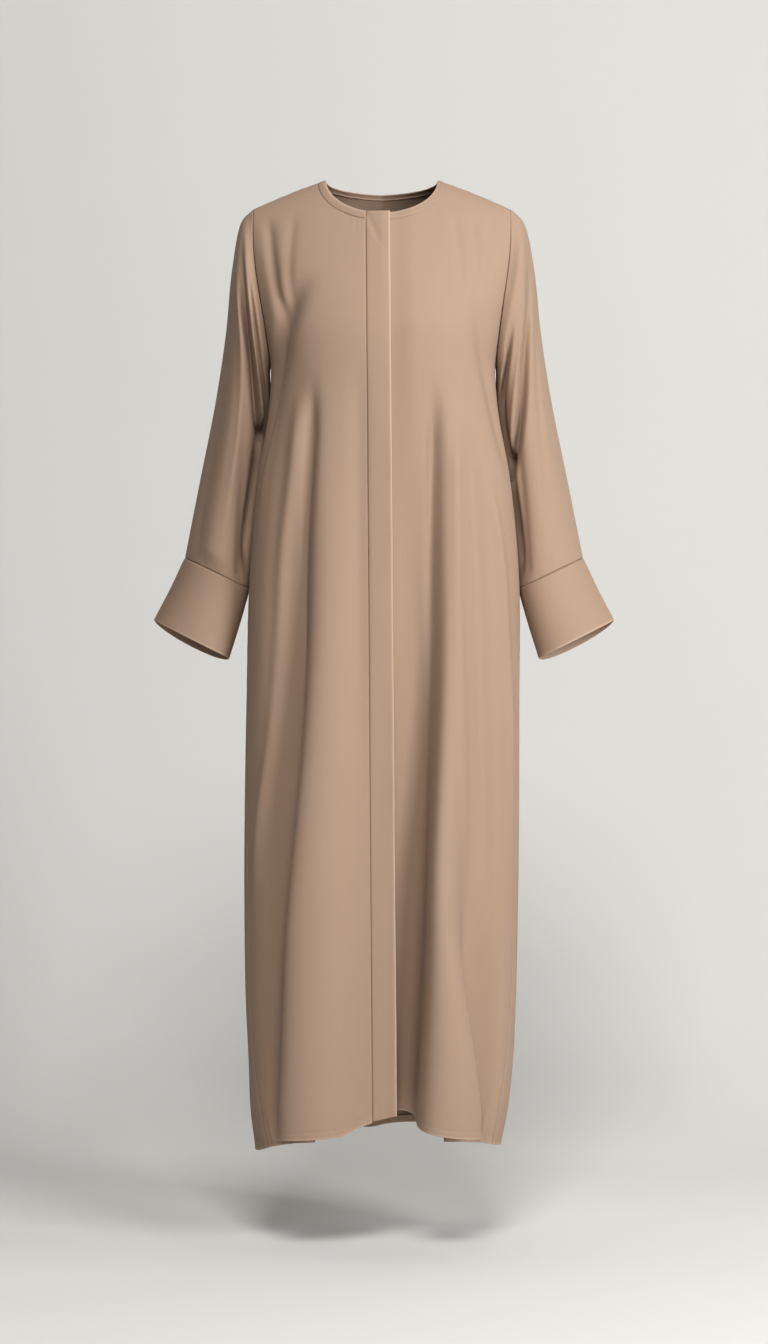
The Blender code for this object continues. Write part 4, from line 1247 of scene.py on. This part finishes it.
def backdrop():
    """A pale floor that sweeps up into a wall."""
    bpy.ops.mesh.primitive_plane_add(size=2.0, location=(0, 0, 0))
    sweep = bpy.context.active_object
    sweep.name = "backdrop"
    bpy.ops.object.mode_set(mode="EDIT")
    bpy.ops.mesh.select_all(action="SELECT")
    half_long = (WALL_BEHIND + FLOOR_AHEAD) / 2
    bpy.ops.transform.resize(value=(STAGE_HALF_WIDTH, half_long, 1))
    bpy.ops.transform.translate(value=(0, WALL_BEHIND - half_long, -FLOOR_DROP))
    bpy.ops.mesh.select_mode(type="EDGE")
    bpy.ops.mesh.select_all(action="DESELECT")
    bpy.ops.object.mode_set(mode="OBJECT")
    for edge in sweep.data.edges:
        ends = [sweep.data.vertices[v].co.y for v in edge.vertices]
        edge.select = min(ends) > WALL_BEHIND - 0.01
    bpy.ops.object.mode_set(mode="EDIT")
    bpy.ops.mesh.extrude_region_move(TRANSFORM_OT_translate={"value": (0, 0, WALL_HIGH)})
    bpy.ops.object.mode_set(mode="OBJECT")
    curve_edge = sweep.modifiers.new("Sweep", "BEVEL")
    curve_edge.width = SWEEP_RADIUS
    curve_edge.segments = SWEEP_STEPS
    bpy.context.view_layer.objects.active = sweep
    bpy.ops.object.modifier_apply(modifier=curve_edge.name)
    sweep.data.shade_smooth()
    paper, tree, shader = plain_finish("backdrop paper", PAPER_SHINE)
    places = node(tree, "ShaderNodeTexCoord").outputs["Object"]
    grain = node(tree, "ShaderNodeTexNoise", links=(("Vector", places), ("Scale", PAPER_GRAIN)))
    tone = two_tones(tree, grain.outputs["Fac"], PAPER_DARK, PAPER_LIGHT)
    tree.links.new(tone, shader.inputs["Base Color"])
    sweep.data.materials.append(paper)
    sweep.select_set(False)


def area_light(name, place, towards, size, power, colour):
    data = bpy.data.lights.new(name, "AREA")
    data.shape = "RECTANGLE"
    data.size, data.size_y = size
    data.energy = power
    data.color = colour
    light = bpy.data.objects.new(name, data)
    bpy.context.scene.collection.objects.link(light)
    light.location = place
    light.rotation_euler = (Vector(towards) - Vector(place)).to_track_quat("-Z", "Y").to_euler()


backdrop()
for light in LIGHTS:
    area_light(*light)

world = bpy.data.worlds.new("studio")
world.use_nodes = True
sky = world.node_tree.nodes["Background"]
sky.inputs["Color"].default_value = WORLD_COLOUR
sky.inputs["Strength"].default_value = WORLD_STRENGTH
bpy.context.scene.world = world
bpy.context.scene.view_settings.view_transform = "Standard"
bpy.context.scene.view_settings.look = "Medium High Contrast"

camera_data = bpy.data.cameras.new("camera")
camera_data.lens = CAMERA_LENS
camera_data.sensor_width = CAMERA_SENSOR
camera = bpy.data.objects.new("camera", camera_data)
bpy.context.scene.collection.objects.link(camera)
camera.location = MIDDLE + Vector((0.0, -CAMERA_BACK, 0.0))
camera.rotation_euler = (math.pi / 2, 0.0, 0.0)
bpy.context.scene.camera = camera
